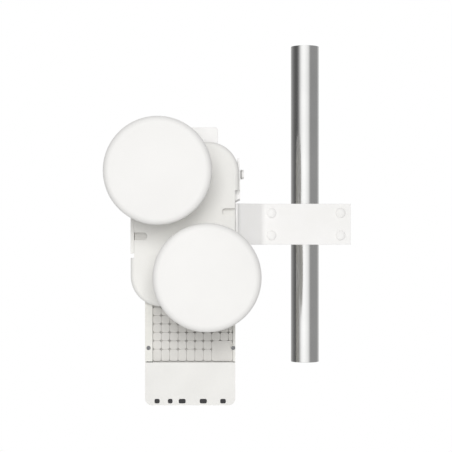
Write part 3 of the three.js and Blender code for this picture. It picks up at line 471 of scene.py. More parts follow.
BOLT_RADIUS = 4.0
for i in range(1, 5):
    centre = centre_xz(f"clamp_bolt_{i}")
    bolt_x, bolt_y, _ = limits(f"clamp_bolt_{i}")
    head = (bolt_x[1] - bolt_x[0]) / 2
    seat = bolt_y[0] + 4.9
    dome = [(head * math.sin(a), seat - 0.8 - 4.1 * math.cos(a)) for a in [math.pi / 2 * k / 10 for k in range(11)]]
    dome[0] = (0.4, dome[0][1])
    shank = [(head, seat), (BOLT_RADIUS, seat), (BOLT_RADIUS, bolt_y[1] - 1), (BOLT_RADIUS - 1, bolt_y[1])]
    profile = dome + shank + [(0.4, bolt_y[1])]
    piece(f"clamp_bolt_round_{i}", turned("y", centre, profile, 64), "clamp", "white_paint", [f"clamp_bolt_{i}"])
    nut_y = limits(f"clamp_nut_{i}")[1]
    flange = eased([(4.3, nut_y[0]), (9.0, nut_y[0]), (9.0, nut_y[0] + 1.2), (7.0, nut_y[0] + 2.6)], 0.4)
    ring = turned("y", centre, flange + [(4.3, nut_y[0] + 2.6)], 72, True)
    nut = joined([hexagon_head("y", centre, 13.0, nut_y[0] + 0.5, nut_y[1]), ring])
    piece(f"clamp_nut_flanged_{i}", nut, "clamp", "zinc", [f"clamp_nut_{i}"])
print("bolt head radius:", round(head, 2))

# %% [markdown]
# ## Side bracket and elevation pins
# The bracket is a tall plate beside the head, stepped in beside the arm's end plate. Its CAD shape is right, so it
# only takes soft edges and paint. Its two hexagon bolts are painted with it and have a washer face under the head.

# %% Side bracket, bolts and pins
WASHER_SEAT = -140.7
WASHER_TOP = -139.7
kept("side_bracket", "white_paint", 0.6)
for name in ("upper", "lower"):
    node = f"side_bolt_{name}"
    bolt_x, bolt_y, bolt_z = limits(node)
    centre = (middle(bolt_y), middle(bolt_z))
    shank = [(0.5, bolt_x[0]), (4.6, bolt_x[0]), (5, bolt_x[0] + 0.5), (5, WASHER_SEAT), (8.4, WASHER_SEAT)]
    washer = eased(shank, 0.2) + eased([(8.4, WASHER_SEAT), (8.4, WASHER_TOP), (0.5, WASHER_TOP)], 0.3)[1:]
    head = hexagon_head("x", centre, 17.0, -139.8, bolt_x[1], math.pi / 6)
    piece(f"{node}_hexagon", joined([turned("x", centre, washer, 64), head]), "radio", "white_paint", [node])
for node in ("pivot_pin", "tilt_lock_pin"):
    pin_x, pin_y, pin_z = limits(node)
    centre = (middle(pin_y), middle(pin_z))
    shank = eased([(0.5, pin_x[0]), (5, pin_x[0]), (5, pin_x[1]), (0.5, pin_x[1])], 0.6)
    nut = hexagon_head("x", centre, 14.7, -156.0, -162.0)
    piece(f"{node}_stud", joined([turned("x", centre, shank, 48), nut]), "clamp", "zinc", [node])
print("side bolts and pins made")

# %% [markdown]
# ## Front cover
# The cover is a moulded shell with big corners and a rounded front edge. Its outer skin is the outline drawn
# smaller ring by ring as the edge turns over. The inside is hollowed with a smaller copy, and then the two side
# notches, the two blind slots and the two feed holes are cut. The left notch is the right one turned half round,
# because the same cover serves for an arm on either side.

# %% Front cover
cover_x, cover_y, cover_z = limits("front_cover")
HEAD_X = middle(cover_x)
COVER_CORNER = 62.0
COVER_EDGE = 9.0
SKIN = 3.0
NOTCH_INNER = -151.7
NOTCH_Z = (-66.5, 69.5)
SLOT_Z = (17.3, 32.4)
SLOT_END = -178.5
SLOT_FLOOR = -142.0


def cushion(inset, back, front, edge):
    """The cover's outline as a slab with a rounded front edge."""
    turns = [math.pi / 2 * i / 10 for i in range(11)]
    profile = [(inset, back)] + [(inset + edge * (1 - math.cos(a)), front + edge * (1 - math.sin(a))) for a in turns]
    rings = []
    for offset, y in profile:
        outline = rounded(
            cover_x[0] + offset,
            cover_x[1] - offset,
            cover_z[0] + offset,
            cover_z[1] - offset,
            COVER_CORNER - offset,
            COVER_CORNER - offset,
        )
        rings.append([(x, y, z) for x, z in outline])
    return skin(rings)


def half_turn(x, z):
    return 2 * HEAD_X - x, -z


def side_tool(left, x, y, z):
    """A cutting box on the right, or turned half round to the left."""
    corners = [(x[0], z[0]), (x[1], z[1])]
    if left:
        corners = [half_turn(*corner) for corner in corners]
    spans = [sorted(corner[k] for corner in corners) for k in (0, 1)]
    return box_mesh(spans[0], y, spans[1])


def slot_tool(left, y, larger=0.0):
    """The slot beside the notch, with a round inner end, made larger all round."""
    x, z = SLOT_END + (SLOT_Z[1] - SLOT_Z[0]) / 2, middle(SLOT_Z)
    radius = (SLOT_Z[1] - SLOT_Z[0]) / 2 + larger
    turns = [math.radians(90 + 180 * i / 24) for i in range(25)]
    outline = [(x + radius * math.cos(a), z + radius * math.sin(a)) for a in turns]
    outline += [(NOTCH_INNER + 2, z - radius), (NOTCH_INNER + 2, z + radius)]
    if left:
        outline = [half_turn(*point) for point in outline]
    return skin([[(a, w, b) for a, b in outline] for w in y])


through = (cover_y[0] - 2, cover_y[1] + 3)
reach = (NOTCH_INNER, NOTCH_INNER + COVER_CORNER)
cavity_reach = (NOTCH_INNER - SKIN, NOTCH_INNER + COVER_CORNER)
cavity_z = (NOTCH_Z[0] - SKIN, NOTCH_Z[1] + SKIN)
keep_skin = [side_tool(left, cavity_reach, through, cavity_z) for left in (False, True)]
keep_skin += [slot_tool(left, (through[0], SLOT_FLOOR + SKIN), SKIN) for left in (False, True)]
cavity = combined(cushion(SKIN, cover_y[1] + 1, cover_y[0] + SKIN, COVER_EDGE - SKIN), keep_skin)
cuts = [cavity]
for left in (False, True):
    cuts.append(side_tool(left, reach, through, NOTCH_Z))
    cuts.append(slot_tool(left, (through[0], SLOT_FLOOR)))
for name in ("upper", "lower"):
    cuts.append(turned("y", centre_xz(f"neck_{name}"), [(9.0, through[0]), (9.0, through[1])], 32))
cover = combined(cushion(0, cover_y[1], cover_y[0], COVER_EDGE), cuts)
piece("front_cover_shell", cover, "radio", "cover_white", ["front_cover"], 0.5, 50, 2)
kept("notch_blank", "cover_white", 0.5)
print("cover:", [round(v, 1) for v in cover_x + cover_z])

# %% [markdown]
# ## Gasket and chassis
# Behind the cover sits a cast tray with a rubber gasket between them. Both follow one outline: a rectangle with
# big upper corners, stepped in at the two notches. The outline is written once and drawn at several insets, so the
# wall and the gasket come from the same line.

# %% Gasket and chassis
chassis_x, chassis_y, chassis_z = limits("rear_chassis")
gasket_y = limits("head_gasket")[1]
CHASSIS_BACK = -84.0
CHASSIS_WALL = 4.0
STEP_IN = NOTCH_INNER - 4.3
STEP_Z = (NOTCH_Z[0] - 2.5, NOTCH_Z[1] + 2.5)


def chassis_outline(inset):
    """The chassis's outline, anticlockwise, stepped in at both notches."""
    left, right = chassis_x[0] + inset, chassis_x[1] - inset
    low, high = chassis_z[0] + inset, chassis_z[1] - inset
    whole = rounded(left, right, low, high, 10 - inset, 58 - inset)
    step_x = STEP_IN - inset
    low_z, high_z = STEP_Z[0] - inset, STEP_Z[1] + inset
    right_step = [(right, low_z), (step_x, low_z), (step_x, high_z), (right, high_z)]
    left_step = [half_turn(*point) for point in right_step]
    quarter = len(whole) // 4
    return whole[: 2 * quarter] + right_step + whole[2 * quarter :] + left_step


def outline_rings(outline, profile):
    """The outline drawn at each (inset, y) of a profile."""
    return [[(x, y, z) for x, z in outline(inset)] for inset, y in profile]


inner = CHASSIS_WALL
seal = [(0, gasket_y[0]), (0, gasket_y[1]), (inner, gasket_y[1]), (inner, gasket_y[0])]
gasket = skin(outline_rings(chassis_outline, seal), True)
piece("head_gasket_ring", gasket, "radio", "rubber_black", ["head_gasket"], 0.3, 50)
floor_y = CHASSIS_BACK - CHASSIS_WALL
tray = [(0, chassis_y[0]), (0, CHASSIS_BACK - 3), (1, CHASSIS_BACK - 0.9), (3, CHASSIS_BACK), (inner, CHASSIS_BACK)]
tray_rings = outline_rings(chassis_outline, tray + [(12, CHASSIS_BACK)])
inside = outline_rings(chassis_outline, [(inner + 8, floor_y), (inner, floor_y), (inner, chassis_y[0])])
chassis = skin(inside + tray_rings)
piece("rear_chassis_tray", chassis, "radio", "cast_white", ["rear_chassis"], 0.6, 50)
print("chassis outline points:", len(chassis_outline(0)))

# %% [markdown]
# ## Repeated pieces with Geometry Nodes
# Fins, pads and screws repeat, so one node tree places copies in ranks and another in a ring. A rank tree is a
# mesh line whose points carry a second line, and the piece to copy is set on every point. Both trees end in
# Realize Instances and Set Material, and the result is turned into a plain mesh.

# %% Trees for ranks and rings
def tree_with(name, sockets):
    """A geometry tree with named inputs and a geometry output."""
    tree = bpy.data.node_groups.new(name, "GeometryNodeTree")
    for label, kind in sockets:
        tree.interface.new_socket(label, in_out="INPUT", socket_type="NodeSocket" + kind)
    tree.interface.new_socket("Geometry", in_out="OUTPUT", socket_type="NodeSocketGeometry")
    return tree, add(tree, "NodeGroupInput").outputs


def close(tree, geometry, material):
    """Realize Instances, Set Material and the output."""
    real = add(tree, "GeometryNodeRealizeInstances", None, {0: geometry})
    painted = add(tree, "GeometryNodeSetMaterial", None, {"Geometry": real.outputs[0], "Material": material})
    add(tree, "NodeGroupOutput", None, {0: painted.outputs[0]})
    return tree


def ranks_tree():
    """Copies on columns and rows."""
    sockets = [("Copy", "Object"), ("Columns", "Int"), ("Rows", "Int"), ("First", "Vector")]
    sockets += [("Column Step", "Vector"), ("Row Step", "Vector"), ("Finish", "Material")]
    tree, given = tree_with("ranks of copies", sockets)
    columns = add(
        tree,
        "GeometryNodeMeshLine",
        None,
        {"Count": given["Columns"], "Start Location": given["First"], "Offset": given["Column Step"]},
    )
    rows = add(tree, "GeometryNodeMeshLine", None, {"Count": given["Rows"], "Offset": given["Row Step"]})
    grid = add(
        tree, "GeometryNodeInstanceOnPoints", None, {"Points": columns.outputs[0], "Instance": rows.outputs[0]}
    )
    points = add(tree, "GeometryNodeRealizeInstances", None, {0: grid.outputs[0]})
    source = add(tree, "GeometryNodeObjectInfo", None, {"Object": given["Copy"]})
    inputs = {"Points": points.outputs[0], "Instance": source.outputs["Geometry"]}
    copies = add(tree, "GeometryNodeInstanceOnPoints", None, inputs)
    return close(tree, copies.outputs[0], given["Finish"])


def path_tree():
    """Copies spaced evenly along a closed path."""
    sockets = [("Copy", "Object"), ("Path", "Object"), ("Count", "Int"), ("Finish", "Material")]
    tree, given = tree_with("copies along a path", sockets)
    path = add(tree, "GeometryNodeObjectInfo", None, {"Object": given["Path"]})
    even = add(
        tree, "GeometryNodeResampleCurve", None, {"Curve": path.outputs["Geometry"], "Count": given["Count"]}
    )
    source = add(tree, "GeometryNodeObjectInfo", None, {"Object": given["Copy"]})
    inputs = {"Points": even.outputs[0], "Instance": source.outputs["Geometry"]}
    copies = add(tree, "GeometryNodeInstanceOnPoints", None, inputs)
    return close(tree, copies.outputs[0], given["Finish"])


RANKS = ranks_tree()
ALONG_PATH = path_tree()


def plain_object(name, made):
    """A linked object that holds a bmesh, to be copied or used as a path."""
    mesh = bpy.data.meshes.new(name)
    made.to_mesh(mesh)
    made.free()
    made_object = bpy.data.objects.new(name, mesh)
    bpy.context.scene.collection.objects.link(made_object)
    return made_object


def copies(name, tree, values, slot, helpers):
    """Runs a tree with the values set by socket identifier and gives the result as a plain object."""
    carrier = bpy.data.objects.new(name, bpy.data.meshes.new(name))
    bpy.context.scene.collection.objects.link(carrier)
    modifier = carrier.modifiers.new("copies", "NODES")
    modifier.node_group = tree
    identifiers = {item.name: item.identifier for item in tree.interface.items_tree if item.in_out == "INPUT"}
    for label, value in dict(values, Finish=FINISH[slot]).items():
        modifier[identifiers[label]] = value
    evaluated = carrier.evaluated_get(bpy.context.evaluated_depsgraph_get())
    mesh = bpy.data.meshes.new_from_object(evaluated)
    carrier.modifiers.clear()
    carrier.data = mesh
    for helper in helpers:
        bpy.data.objects.remove(helper)
    return carrier


def metres(*values):
    return [value * MM for value in values]


print("trees:", RANKS.name, "and", ALONG_PATH.name)

# %% [markdown]
# A cast fin tapers so that it leaves its mould, and its tip is rounded. The chassis has eleven and the lower unit
# nine, all from one section that is drawn to each length.

# %% Cooling fins
FIN_BACK = -66.0


def fin_mesh(height, root, thick=3.4, tip=2.2):
    """One upright fin about x = 0, from its root back to its rounded tip."""
    depth = FIN_BACK - root
    side = [(thick / 2, root - 0.5), (tip / 2, FIN_BACK - tip / 2)]
    crown = [(tip / 2 * math.cos(a), FIN_BACK - tip / 2 + tip / 2 * math.sin(a)) for a in (math.pi / 6, math.pi / 3)]
    half = side + crown + [(0, FIN_BACK)]
    section = half + [(-x, y) for x, y in half[-2::-1]]
    low, high = height
    rings = []
    for z, lean in ((low, 0.35), (low + depth * 0.3, 0), (high - depth * 0.3, 0), (high, 0.35)):
        rings.append([(x, root + (y - root) * (1 - lean), z) for x, y in section])
    return skin(rings)


def fins(name, count, span, centre, height, root):
    source = plain_object("fin", fin_mesh(height, root))
    values = {
        "Copy": source,
        "Columns": count,
        "Rows": 1,
        "First": metres(centre - span / 2, 0, 0),
        "Column Step": metres(span / (count - 1), 0, 0),
        "Row Step": metres(0, 0, 1),
    }
    return dressed(copies(name, RANKS, values, "cast_white", [source]), "radio", "cast_white")


fins("chassis_fins", 11, 150, HEAD_X, (-85, 140), CHASSIS_BACK)
unit_x, unit_y, unit_z = limits("unit_case")
fins("unit_fins", 9, 140, middle(unit_x), (-320, -160), CHASSIS_BACK)
print("fins: 11 on the chassis, 9 on the lower unit")

# %% [markdown]
# Cap screws hold the castings together from behind. Each has a round head with a hexagon recess. On the chassis
# they follow the rim, so they are placed along a path, and on each neck's flange they follow a circle.

# %% Cap screws
def cap_screw(axis, way, radius=3.5, height=3.0):
    """A socket head with its seat at 0, standing out in the direction way along the axis."""
    top = way * height
    deep = way * (height - 1.8)
    outer = eased([(radius, 0), (radius, top), (radius * 0.55, top)], 0.5)
    rim_rings = [(r, w) for r, w in outer]
    turns = [2 * math.pi * i / 36 for i in range(36)]
    rings = [[spot(axis, (0, 0), r * math.cos(a), r * math.sin(a), w) for a in turns] for r, w in rim_rings]
    for depth in (top - way * 0.15, deep):
        radii = [hexagon(radius * 0.86, a) for a in turns]
        rings.append(
            [spot(axis, (0, 0), r * math.cos(a), r * math.sin(a), depth) for r, a in zip(radii, turns)]
        )
    return skin(rings)


def path_object(points):
    """A closed path as a poly curve."""
    curve = bpy.data.curves.new("path", "CURVE")
    curve.dimensions = "3D"
    spline = curve.splines.new("POLY")
    spline.points.add(len(points) - 1)
    for point, place in zip(spline.points, points):
        point.co = (*metres(*place), 1)
    spline.use_cyclic_u = True
    made_object = bpy.data.objects.new("path", curve)
    bpy.context.scene.collection.objects.link(made_object)
    return made_object


def screws_along(name, points, count, axis, way, slot="zinc"):
    source = plain_object("screw", cap_screw(axis, way))
    path = path_object(points)
    made = copies(name, ALONG_PATH, {"Copy": source, "Path": path, "Count": count}, slot, [source, path])
    return dressed(made, "radio", slot)


FLANGE_CIRCLE = 55.5
rim_path = rounded(chassis_x[0] + 8, STEP_IN - 8, chassis_z[0] + 8, chassis_z[1] - 8, 8, 50)
screws_along("chassis_screws", [(x, CHASSIS_BACK, z) for x, z in rim_path], 12, "y", 1)
for name in ("upper", "lower"):
    x, z = centre_xz(f"neck_{name}")
    flange_y = limits(f"neck_{name}")[1][1] - 7
    turns = [2 * math.pi * (i + 0.5) / 48 for i in range(48)]
    circle = [(x + FLANGE_CIRCLE * math.cos(a), flange_y, z + FLANGE_CIRCLE * math.sin(a)) for a in turns]
    screws_along(f"neck_screws_{name}", circle, 8, "y", -1)
print("screws: 12 behind the chassis, 8 on each neck")

# %% [markdown]
# ## Inside the head
# The two transceiver boxes and the board are hidden by the cover, so they keep their CAD shapes with soft edges.

# %% Electronics, hood and strap
for node in ("transceiver_upper", "transceiver_lower"):
    kept(node, "bare_aluminium", 1.0)
for node in ("radio_board", "main_board"):
    kept(node, "board_green", 0.2)
kept("top_bracket", "white_paint", 0.8, 50)
kept("link_strap", "white_paint", 0.6)
print("hood:", [[round(v, 1) for v in pair] for pair in limits("top_bracket")])

# %% [markdown]
# ## Antennas
# Each antenna is turned: a shallow domed radome with a rounded rim, a parabolic dish behind it, a feed tube with
# its splash plate, and a neck that flares to the dish and ends in a flange on the cover. The radome's face is a
# slice of a large sphere, so its rise and its radius give the sphere.

# %% Antennas
RADOME_WALL = 3.0
RADOME_DOME = 6.0
RADOME_ROUND = 15.0
DISH_CURVE = 0.0048
DISH_CENTRE = -243.0
DISH_WALL = 3.0


def radome_profile(radius, front, rounding):
    """From near the axis over the domed face and round the rim."""
    face = radius - rounding
    sphere = (face**2 + RADOME_DOME**2) / (2 * RADOME_DOME)
    radii = [0.5 + (face - 0.5) * i / 24 for i in range(25)]
    made = [(r, front + sphere - math.sqrt(sphere**2 - r**2)) for r in radii]
    lean = math.asin(face / sphere)
    for i in range(1, 17):
        a = -math.pi / 2 + lean + (math.pi / 2 - lean) * i / 16
        made.append((face + rounding * math.cos(a), front + RADOME_DOME + rounding * (1 + math.sin(a))))
    return made


def parabola(r):
    return DISH_CENTRE - DISH_CURVE * r**2


for name in ("upper", "lower"):
    _, radome_y, radome_z = limits(f"radome_{name}")
    centre = centre_xz(f"neck_{name}")
    radius = (radome_z[1] - radome_z[0]) / 2
    outer = radome_profile(radius, radome_y[0], RADOME_ROUND)
    inside = radome_profile(radius - RADOME_WALL, radome_y[0] + RADOME_WALL, RADOME_ROUND - RADOME_WALL)
    lip = eased(
        [outer[-1], (radius, radome_y[1]), (radius - RADOME_WALL, radome_y[1]), inside[-1]], 0.8
    )
    shell = turned("y", centre, outer[:-1] + lip + inside[-2::-1], 160)
    piece(f"radome_{name}_moulded", shell, "radio", "radome_white", [f"radome_{name}"])

    dish_y = limits(f"dish_{name}")[1]
    rim_radius = radius - RADOME_WALL - 0.3
    mouth = rim_radius - DISH_WALL
    radii = [7.5 + (mouth - 7.5) * i / 24 for i in range(25)]
    bowl = [(r, parabola(r)) for r in radii]
    back = [(r, parabola(r) + DISH_WALL) for r in radii[::-1]]
    lip = eased([(mouth, dish_y[0]), (rim_radius, dish_y[0]), (rim_radius, back[0][1]), back[0]], 0.7)
    dish = turned("y", centre, bowl + lip + back[1:], 128, True)
    piece(f"dish_{name}_spun", dish, "radio", "cast_white", [f"dish_{name}"])

    for node, slot, sides in ((f"radome_seal_{name}", "rubber_black", 128), (f"feed_tube_{name}", "brass", 48)):
        box = limits(node)
        outside = (box[2][1] - box[2][0]) / 2
        bore = outside - (3.0 if "seal" in node else 2.5)
        ring = [(bore, box[1][0]), (outside, box[1][0]), (outside, box[1][1]), (bore, box[1][1])]
        piece(f"{node}_ring", turned("y", centre, eased(ring, 0.4, True), sides, True), "radio", slot, [node])

    splash_y = limits(f"splash_plate_{name}")[1]
    plate = eased([(0.5, splash_y[0]), (18, splash_y[0]), (20, splash_y[0] + 3), (7.5, splash_y[1])], 0.5)
    splash = turned("y", centre, plate + [(0.5, splash_y[1])], 64)
    piece(f"splash_plate_{name}_turned", splash, "radio", "cream_plastic", [f"splash_plate_{name}"])

    neck_y = limits(f"neck_{name}")[1]
    outer = [(58, neck_y[0]), (58, neck_y[0] + 6), (50, neck_y[0] + 22), (50, neck_y[1] - 12), (53, neck_y[1] - 8)]
    outer += [(60, neck_y[1] - 7), (60, neck_y[1])]
    bore = [(46, neck_y[1]), (46, neck_y[0] + 22), (54, neck_y[0] + 8), (54, neck_y[0])]
    neck = turned("y", centre, eased(outer + bore, 2.0, True, 5), 96, True)
    piece(f"neck_{name}_cast", neck, "radio", "cast_white", [f"neck_{name}"])
print("radome radius:", round(radius, 2), "at", [round(v, 1) for v in centre])

# %% [markdown]
# ## Lower radio unit
# The unit's case is a cast tray with the port bay in its lower part, closed in front by a bezel and the port door.
# The bezel frames a heat sink cast as a square grid of pads. The bezel and the door have the right shape from CAD,
# so they only take softer edges. The case is skinned again to round its back edge. The heat sink is remade, because
# its pads have rounded corners that open into dark points where four of them meet.

# %% Case, bezel and heat sink
case_wall = 3.0
bezel_back = -116.0
DOOR_TOP = -285.4
UNIT_CORNER = 14.0


def unit_outline(inset, top):
    """The unit's outline, with round lower corners."""
    low = max(UNIT_CORNER - inset, 1)
    return rounded(unit_x[0] + inset, unit_x[1] - inset, unit_z[0] + inset, top, low, 1.0, 12)


case_top = unit_z[1]
back_edge = [(0, CHASSIS_BACK - 3), (0.9, CHASSIS_BACK - 0.9), (3, CHASSIS_BACK)]
case_profile = [(0, bezel_back + 0.3)] + back_edge + [(20, CHASSIS_BACK)]
case_cavity = [(case_wall, bezel_back - 20), (case_wall, CHASSIS_BACK - 4.5), (4.5, CHASSIS_BACK - case_wall)]
tray = skin([[(x, y, z) for x, z in unit_outline(inset, case_top - inset)] for inset, y in case_profile])
bay_y = (unit_y[0], bezel_back + 1)
bay = skin([[(x, y, z) for x, z in unit_outline(0, DOOR_TOP - 2)] for y in bay_y])
hollow = skin(
    [[(x, y, z) for x, z in unit_outline(inset, case_top - inset)] for inset, y in case_cavity]
)
hinge_y, hinge_z = -129.5, -291.0
door_room = box_mesh(
    (unit_x[0] - 1, unit_x[1] + 1), (unit_y[0] - 1, hinge_y + 7.5), (hinge_z - 0.3, hinge_z + 7.5)
)
outlet = box_mesh((-320, -168), (-127, -91), (unit_z[0] - 1, unit_z[0] + case_wall + 1))
case = combined(combined(tray, [bay], "UNION"), [hollow, door_room, outlet])
piece("unit_case_cast", case, "radio", "cast_white", ["unit_case"], 0.5, 50)
kept("unit_bezel", "cast_white", 0.9, 40)

sink_x, sink_y, sink_z = limits("front_heat_sink")
PAD_PITCH = 17.4
PAD_FRONT = -128.0
PAD_ROOT = -121.0
boss = (-155.6, -255.5)
plate_rings = [
    [(x, y, z) for x, z in rounded(sink_x[0], sink_x[1], sink_z[0], sink_z[1], 0.3, 0.3, 3)]
    for y in (PAD_ROOT, sink_y[1])
]


def boss_tool():
    """The room that the bezel's right boss needs in the heat sink."""
    return turned("y", boss, [(5.7, PAD_FRONT - 9), (5.7, sink_y[1] + 2)], 48)


plate = combined(skin(plate_rings), [boss_tool()])
# the plate and its pads take the heat sink's greyer white, which is painted shade for the recess
piece("heat_sink_plate", plate, "radio", "sink_white", ["front_heat_sink"])


def pad_mesh(width, height, corner=4.6, gaps=(0.22, 0.14)):
    """One heat-sink pad with its middle at the origin in x and z, and its gaps to the sides and above."""
    across, up = (width - gaps[0]) / 2, (height - gaps[1]) / 2
    round_corner = min(corner, across * 0.9, up * 0.9)
    rings = []
    for inset, y in ((0, PAD_ROOT + 0.4), (0, PAD_FRONT + 0.5), (0.15, PAD_FRONT + 0.15), (0.5, PAD_FRONT)):
        outline = rounded(
            -across + inset, across - inset, -up + inset, up - inset, round_corner - inset, round_corner - inset, 5
        )
        rings.append([(x, y, z) for x, z in outline])
    return skin(rings)


sink_low = limits("unit_bezel")[2][0]
first_line = sink_low + 7.5 + PAD_PITCH
last_line = first_line + 5 * PAD_PITCH
last_column = sink_x[0] + 9 * PAD_PITCH
boss_column = sink_x[0] + 7 * PAD_PITCH
boss_row = first_line + PAD_PITCH


def pads(name, width, height, first, columns, rows):
    """Ranks of one size of pad, from the middle of the first."""
    source = plain_object("pad", pad_mesh(width, height))
    values = {
        "Copy": source,
        "Columns": columns,
        "Rows": rows,
        "First": metres(first[0], 0, first[1]),
        "Column Step": metres(PAD_PITCH, 0, 0),
        "Row Step": metres(0, 0, PAD_PITCH),
    }
    return dressed(copies(name, RANKS, values, "sink_white", [source]), "radio", "sink_white")


half_pitch = PAD_PITCH / 2
low_height = first_line - sink_low
top_height = sink_z[1] - last_line
last_width = sink_x[1] - last_column
first_x = sink_x[0] + half_pitch
pads("heat_sink_pads_left", PAD_PITCH, PAD_PITCH, (first_x, first_line + half_pitch), 7, 5)
pads("heat_sink_pads_right", PAD_PITCH, PAD_PITCH, (boss_column + half_pitch, boss_row + half_pitch), 2, 4)
pads("heat_sink_pads_low", PAD_PITCH, low_height, (first_x, sink_low + low_height / 2), 7, 1)
pads("heat_sink_pads_top", PAD_PITCH, top_height, (first_x, last_line + top_height / 2), 9, 1)
pads("heat_sink_pads_edge", last_width, PAD_PITCH, (last_column + last_width / 2, boss_row + half_pitch), 1, 4)
corner = (last_column + last_width / 2, last_line + top_height / 2)
pads("heat_sink_pad_corner", last_width, top_height, corner, 1, 1)
plain_width, plain_height = sink_x[1] - boss_column, boss_row - sink_low
plain = pad_mesh(plain_width, plain_height)
shift = metres(boss_column + plain_width / 2, 0, sink_low + plain_height / 2)
bmesh.ops.translate(plain, verts=plain.verts, vec=shift)
piece("heat_sink_pad_plain", combined(plain, [boss_tool()]), "radio", "sink_white")
print("pads: pitch", PAD_PITCH, "top row height", round(top_height, 1), "last column", round(last_width, 1))

# %% [markdown]
# The two bezel screws sit in counterbores, so they read as dark dots. Each is a round head with a hexagon recess.

# %% Bezel screws
for name in ("left", "right"):
    node = f"bezel_screw_{name}"
    screw_x, screw_y, screw_z = limits(node)
    centre = (middle(screw_x), middle(screw_z))
    made = cap_screw("y", -1, 4.0, 2.8)
    bmesh.ops.translate(made, verts=made.verts, vec=metres(centre[0], screw_y[0] + 2.8, centre[1]))
    shank = turned("y", centre, [(2, screw_y[0] + 2.7), (2, screw_y[1])], 24)
    piece(node + "_socket", joined([made, shank]), "radio", "dark_steel", [node])

# %% [markdown]
# ## Port bay and door
# A shelf in the bay carries the sockets, a ground screw and the reset button, all facing down. The door hangs on
# two pins behind its top edge. Five small windows near its lower edge show the lamps inside.

# %% Shelf, sockets, button and door
kept("port_shelf", "bare_aluminium", 0.3)
kept("power_port", "black_plastic", 0.5)
kept("data_port", "bare_aluminium", 0.3)
kept("fibre_port", "bare_aluminium", 0.3)
kept("reset_switch", "black_plastic", 0.4)
ground_x, ground_y, ground_z = limits("ground_screw")
centre = (middle(ground_x), middle(ground_y))
profile = [(0.5, ground_z[0] + 3), (3, ground_z[0] + 3), (3, ground_z[1]), (0.5, ground_z[1])]
shank = turned("z", centre, eased(profile, 0.5), 32)
head = hexagon_head("z", centre, 9.7, ground_z[0] + 4, ground_z[0])
piece("ground_screw_hexagon", joined([head, shank]), "radio", "brass", ["ground_screw"])
button_x, button_y, button_z = limits("reset_button")
centre = (middle(button_x), middle(button_y))
cap = eased([(0.4, button_z[0]), (3, button_z[0]), (3, button_z[1]), (0.4, button_z[1])], 0.7, False, 5)
piece("reset_button_cap", turned("z", centre, cap, 48), "button", "cream_plastic", ["reset_button"])
for name in ("left", "right"):
    pin_x, pin_y, pin_z = limits(f"hinge_pin_{name}")
    centre = (middle(pin_y), middle(pin_z))
    profile = eased([(0.3, pin_x[0]), (1.5, pin_x[0]), (1.5, pin_x[1]), (0.3, pin_x[1])], 0.3)
    piece(f"hinge_pin_{name}_turned", turned("x", centre, profile, 32), "radio", "stainless", [f"hinge_pin_{name}"])
kept("port_door", "cover_white", 0.7, 50)
for i in range(1, 6):
    kept(f"status_window_{i}", "black_plastic", 0.4, 50)
print("door:", [[round(v, 1) for v in pair] for pair in limits("port_door")])

# %% [markdown]
# ## Studio
# A pale disc is the floor, well below the part, and its rim fades out so that no edge shows. One large soft light
# stands behind the camera and a little above it, and the sky around gives the rest. Polished metal shows whatever
# surrounds it, so the sky that reflections see has the cards of a product studio: bright in front, dark to the left
# and grey to the right. The camera sees plain white.

# %% Floor
floor = bmesh.new()
bmesh.ops.create_circle(floor, cap_ends=True, segments=96, radius=2.0)
bmesh.ops.translate(floor, verts=floor.verts, vec=(HEAD_X * MM, 0, -0.8))
floor = plain_object("floor", floor)
paper = bpy.data.materials.new("studio_paper")
paper.use_nodes = True
tree = paper.node_tree
shader = tree.nodes["Principled BSDF"]
shader.inputs["Base Color"].default_value = linear("F4F4F3")
shader.inputs["Roughness"].default_value = 0.85
place = add(tree, "ShaderNodeTexCoord")
span = add(tree, "ShaderNodeVectorMath", {"operation": "LENGTH"}, {0: place.outputs["Object"]})
tree.links.new(between(tree, span.outputs[1], 1.0, 0.0, 1.2, 2.0), shader.inputs["Alpha"])
floor.data.materials.append(paper)

# %% Sky and lights
world = bpy.data.worlds.new("studio")
bpy.context.scene.world = world
world.use_nodes = True
tree = world.node_tree
sky = tree.nodes["Background"]
way = add(tree, "ShaderNodeTexCoord").outputs["Generated"]
parts = add(tree, "ShaderNodeSeparateXYZ", None, {0: way}).outputs
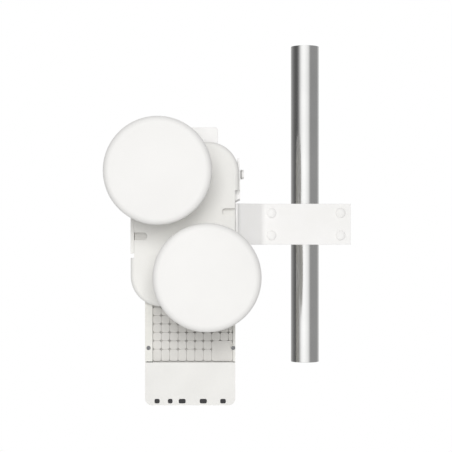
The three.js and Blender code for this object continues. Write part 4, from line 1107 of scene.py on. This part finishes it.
# the angle to the right of the direction towards the camera, from -pi to pi
towards = add(tree, "ShaderNodeMath", {"operation": "MULTIPLY"}, {0: parts[1], 1: -1.0})
turn = add(tree, "ShaderNodeMath", {"operation": "ARCTAN2"}, {0: parts[0], 1: towards.outputs[0]})
share = between(tree, turn.outputs[0], 0.0, 1.0, -math.pi, math.pi)
cards = add(tree, "ShaderNodeValToRGB", None, {0: share})
CARDS = [
    (-180, 0.8),
    (-143, 0.5),
    (-121, 0.3),
    (-92, 0.14),
    (-72, 0.13),
    (-61, 0.22),
    (-48, 0.62),
    (-36, 1.2),
    (-25, 1.4),
    (-9, 1.48),
    (12, 1.28),
    (25, 1.1),
    (42, 0.39),
    (116, 0.4),
    (135, 0.7),
    (180, 0.85),
]
elements = cards.color_ramp.elements
while len(elements) < len(CARDS):
    elements.new(0.5)
for element, (angle, grey) in zip(elements, CARDS):
    element.position = (angle + 180) / 360
    element.color = (grey, grey, grey, 1)
# soft light for everything that isn't a reflection: brighter above, to the left and behind the part
lift = between(tree, parts[2], 0.4, 0.52, -1.0, 1.0)
side = between(tree, parts[0], 0.1, -0.06, -1.0, 1.0)
back = between(tree, parts[1], -0.2, 0.2, -1.0, 1.0)
soft = add(tree, "ShaderNodeMath", {"operation": "ADD"}, {0: lift, 1: side})
soft = add(tree, "ShaderNodeMath", {"operation": "ADD"}, {0: soft.outputs[0], 1: back})
ray = add(tree, "ShaderNodeLightPath").outputs
colours = {"data_type": "RGBA"}
inputs = {0: ray["Is Glossy Ray"], 6: soft.outputs[0], 7: cards.outputs[0]}
glossy = add(tree, "ShaderNodeMix", colours, inputs)
inputs = {0: ray["Is Camera Ray"], 6: glossy.outputs[2], 7: (1, 1, 1, 1)}
seen = add(tree, "ShaderNodeMix", colours, inputs)
tree.links.new(seen.outputs[2], sky.inputs["Color"])
sky.inputs["Strength"].default_value = 1.0


def soft_light(name, place, aim, size, power):
    """A square area light that faces a point."""
    data = bpy.data.lights.new(name, "AREA")
    data.size = size
    data.energy = power
    light = bpy.data.objects.new(name, data)
    bpy.context.scene.collection.objects.link(light)
    light.location = place
    light.rotation_euler = (Vector(aim) - Vector(place)).to_track_quat("-Z", "Y").to_euler()
    return light


key = soft_light("key", (-0.2, -3.05, 0.45), (-0.2, -0.15, 0.0), 1.0, 53.0)
key.visible_glossy = False  # the sky's cards are what polished metal reflects
print("studio: floor, sky and key light")

# %% [markdown]
# ## Camera
# The camera stands level with the clamp, three metres in front, a little to the left of the mast. A long lens keeps
# the perspective slight.

# %% Camera
camera = bpy.data.cameras.new("camera")
camera.lens = 110.63
camera.sensor_width = 36.0
view = bpy.data.objects.new("camera", camera)
bpy.context.scene.collection.objects.link(view)
view.location = (-0.1703, -3.0, -0.0038)
view.rotation_euler = (math.pi / 2, 0, 0)
bpy.context.scene.camera = view
bpy.context.scene.view_settings.view_transform = "Standard"
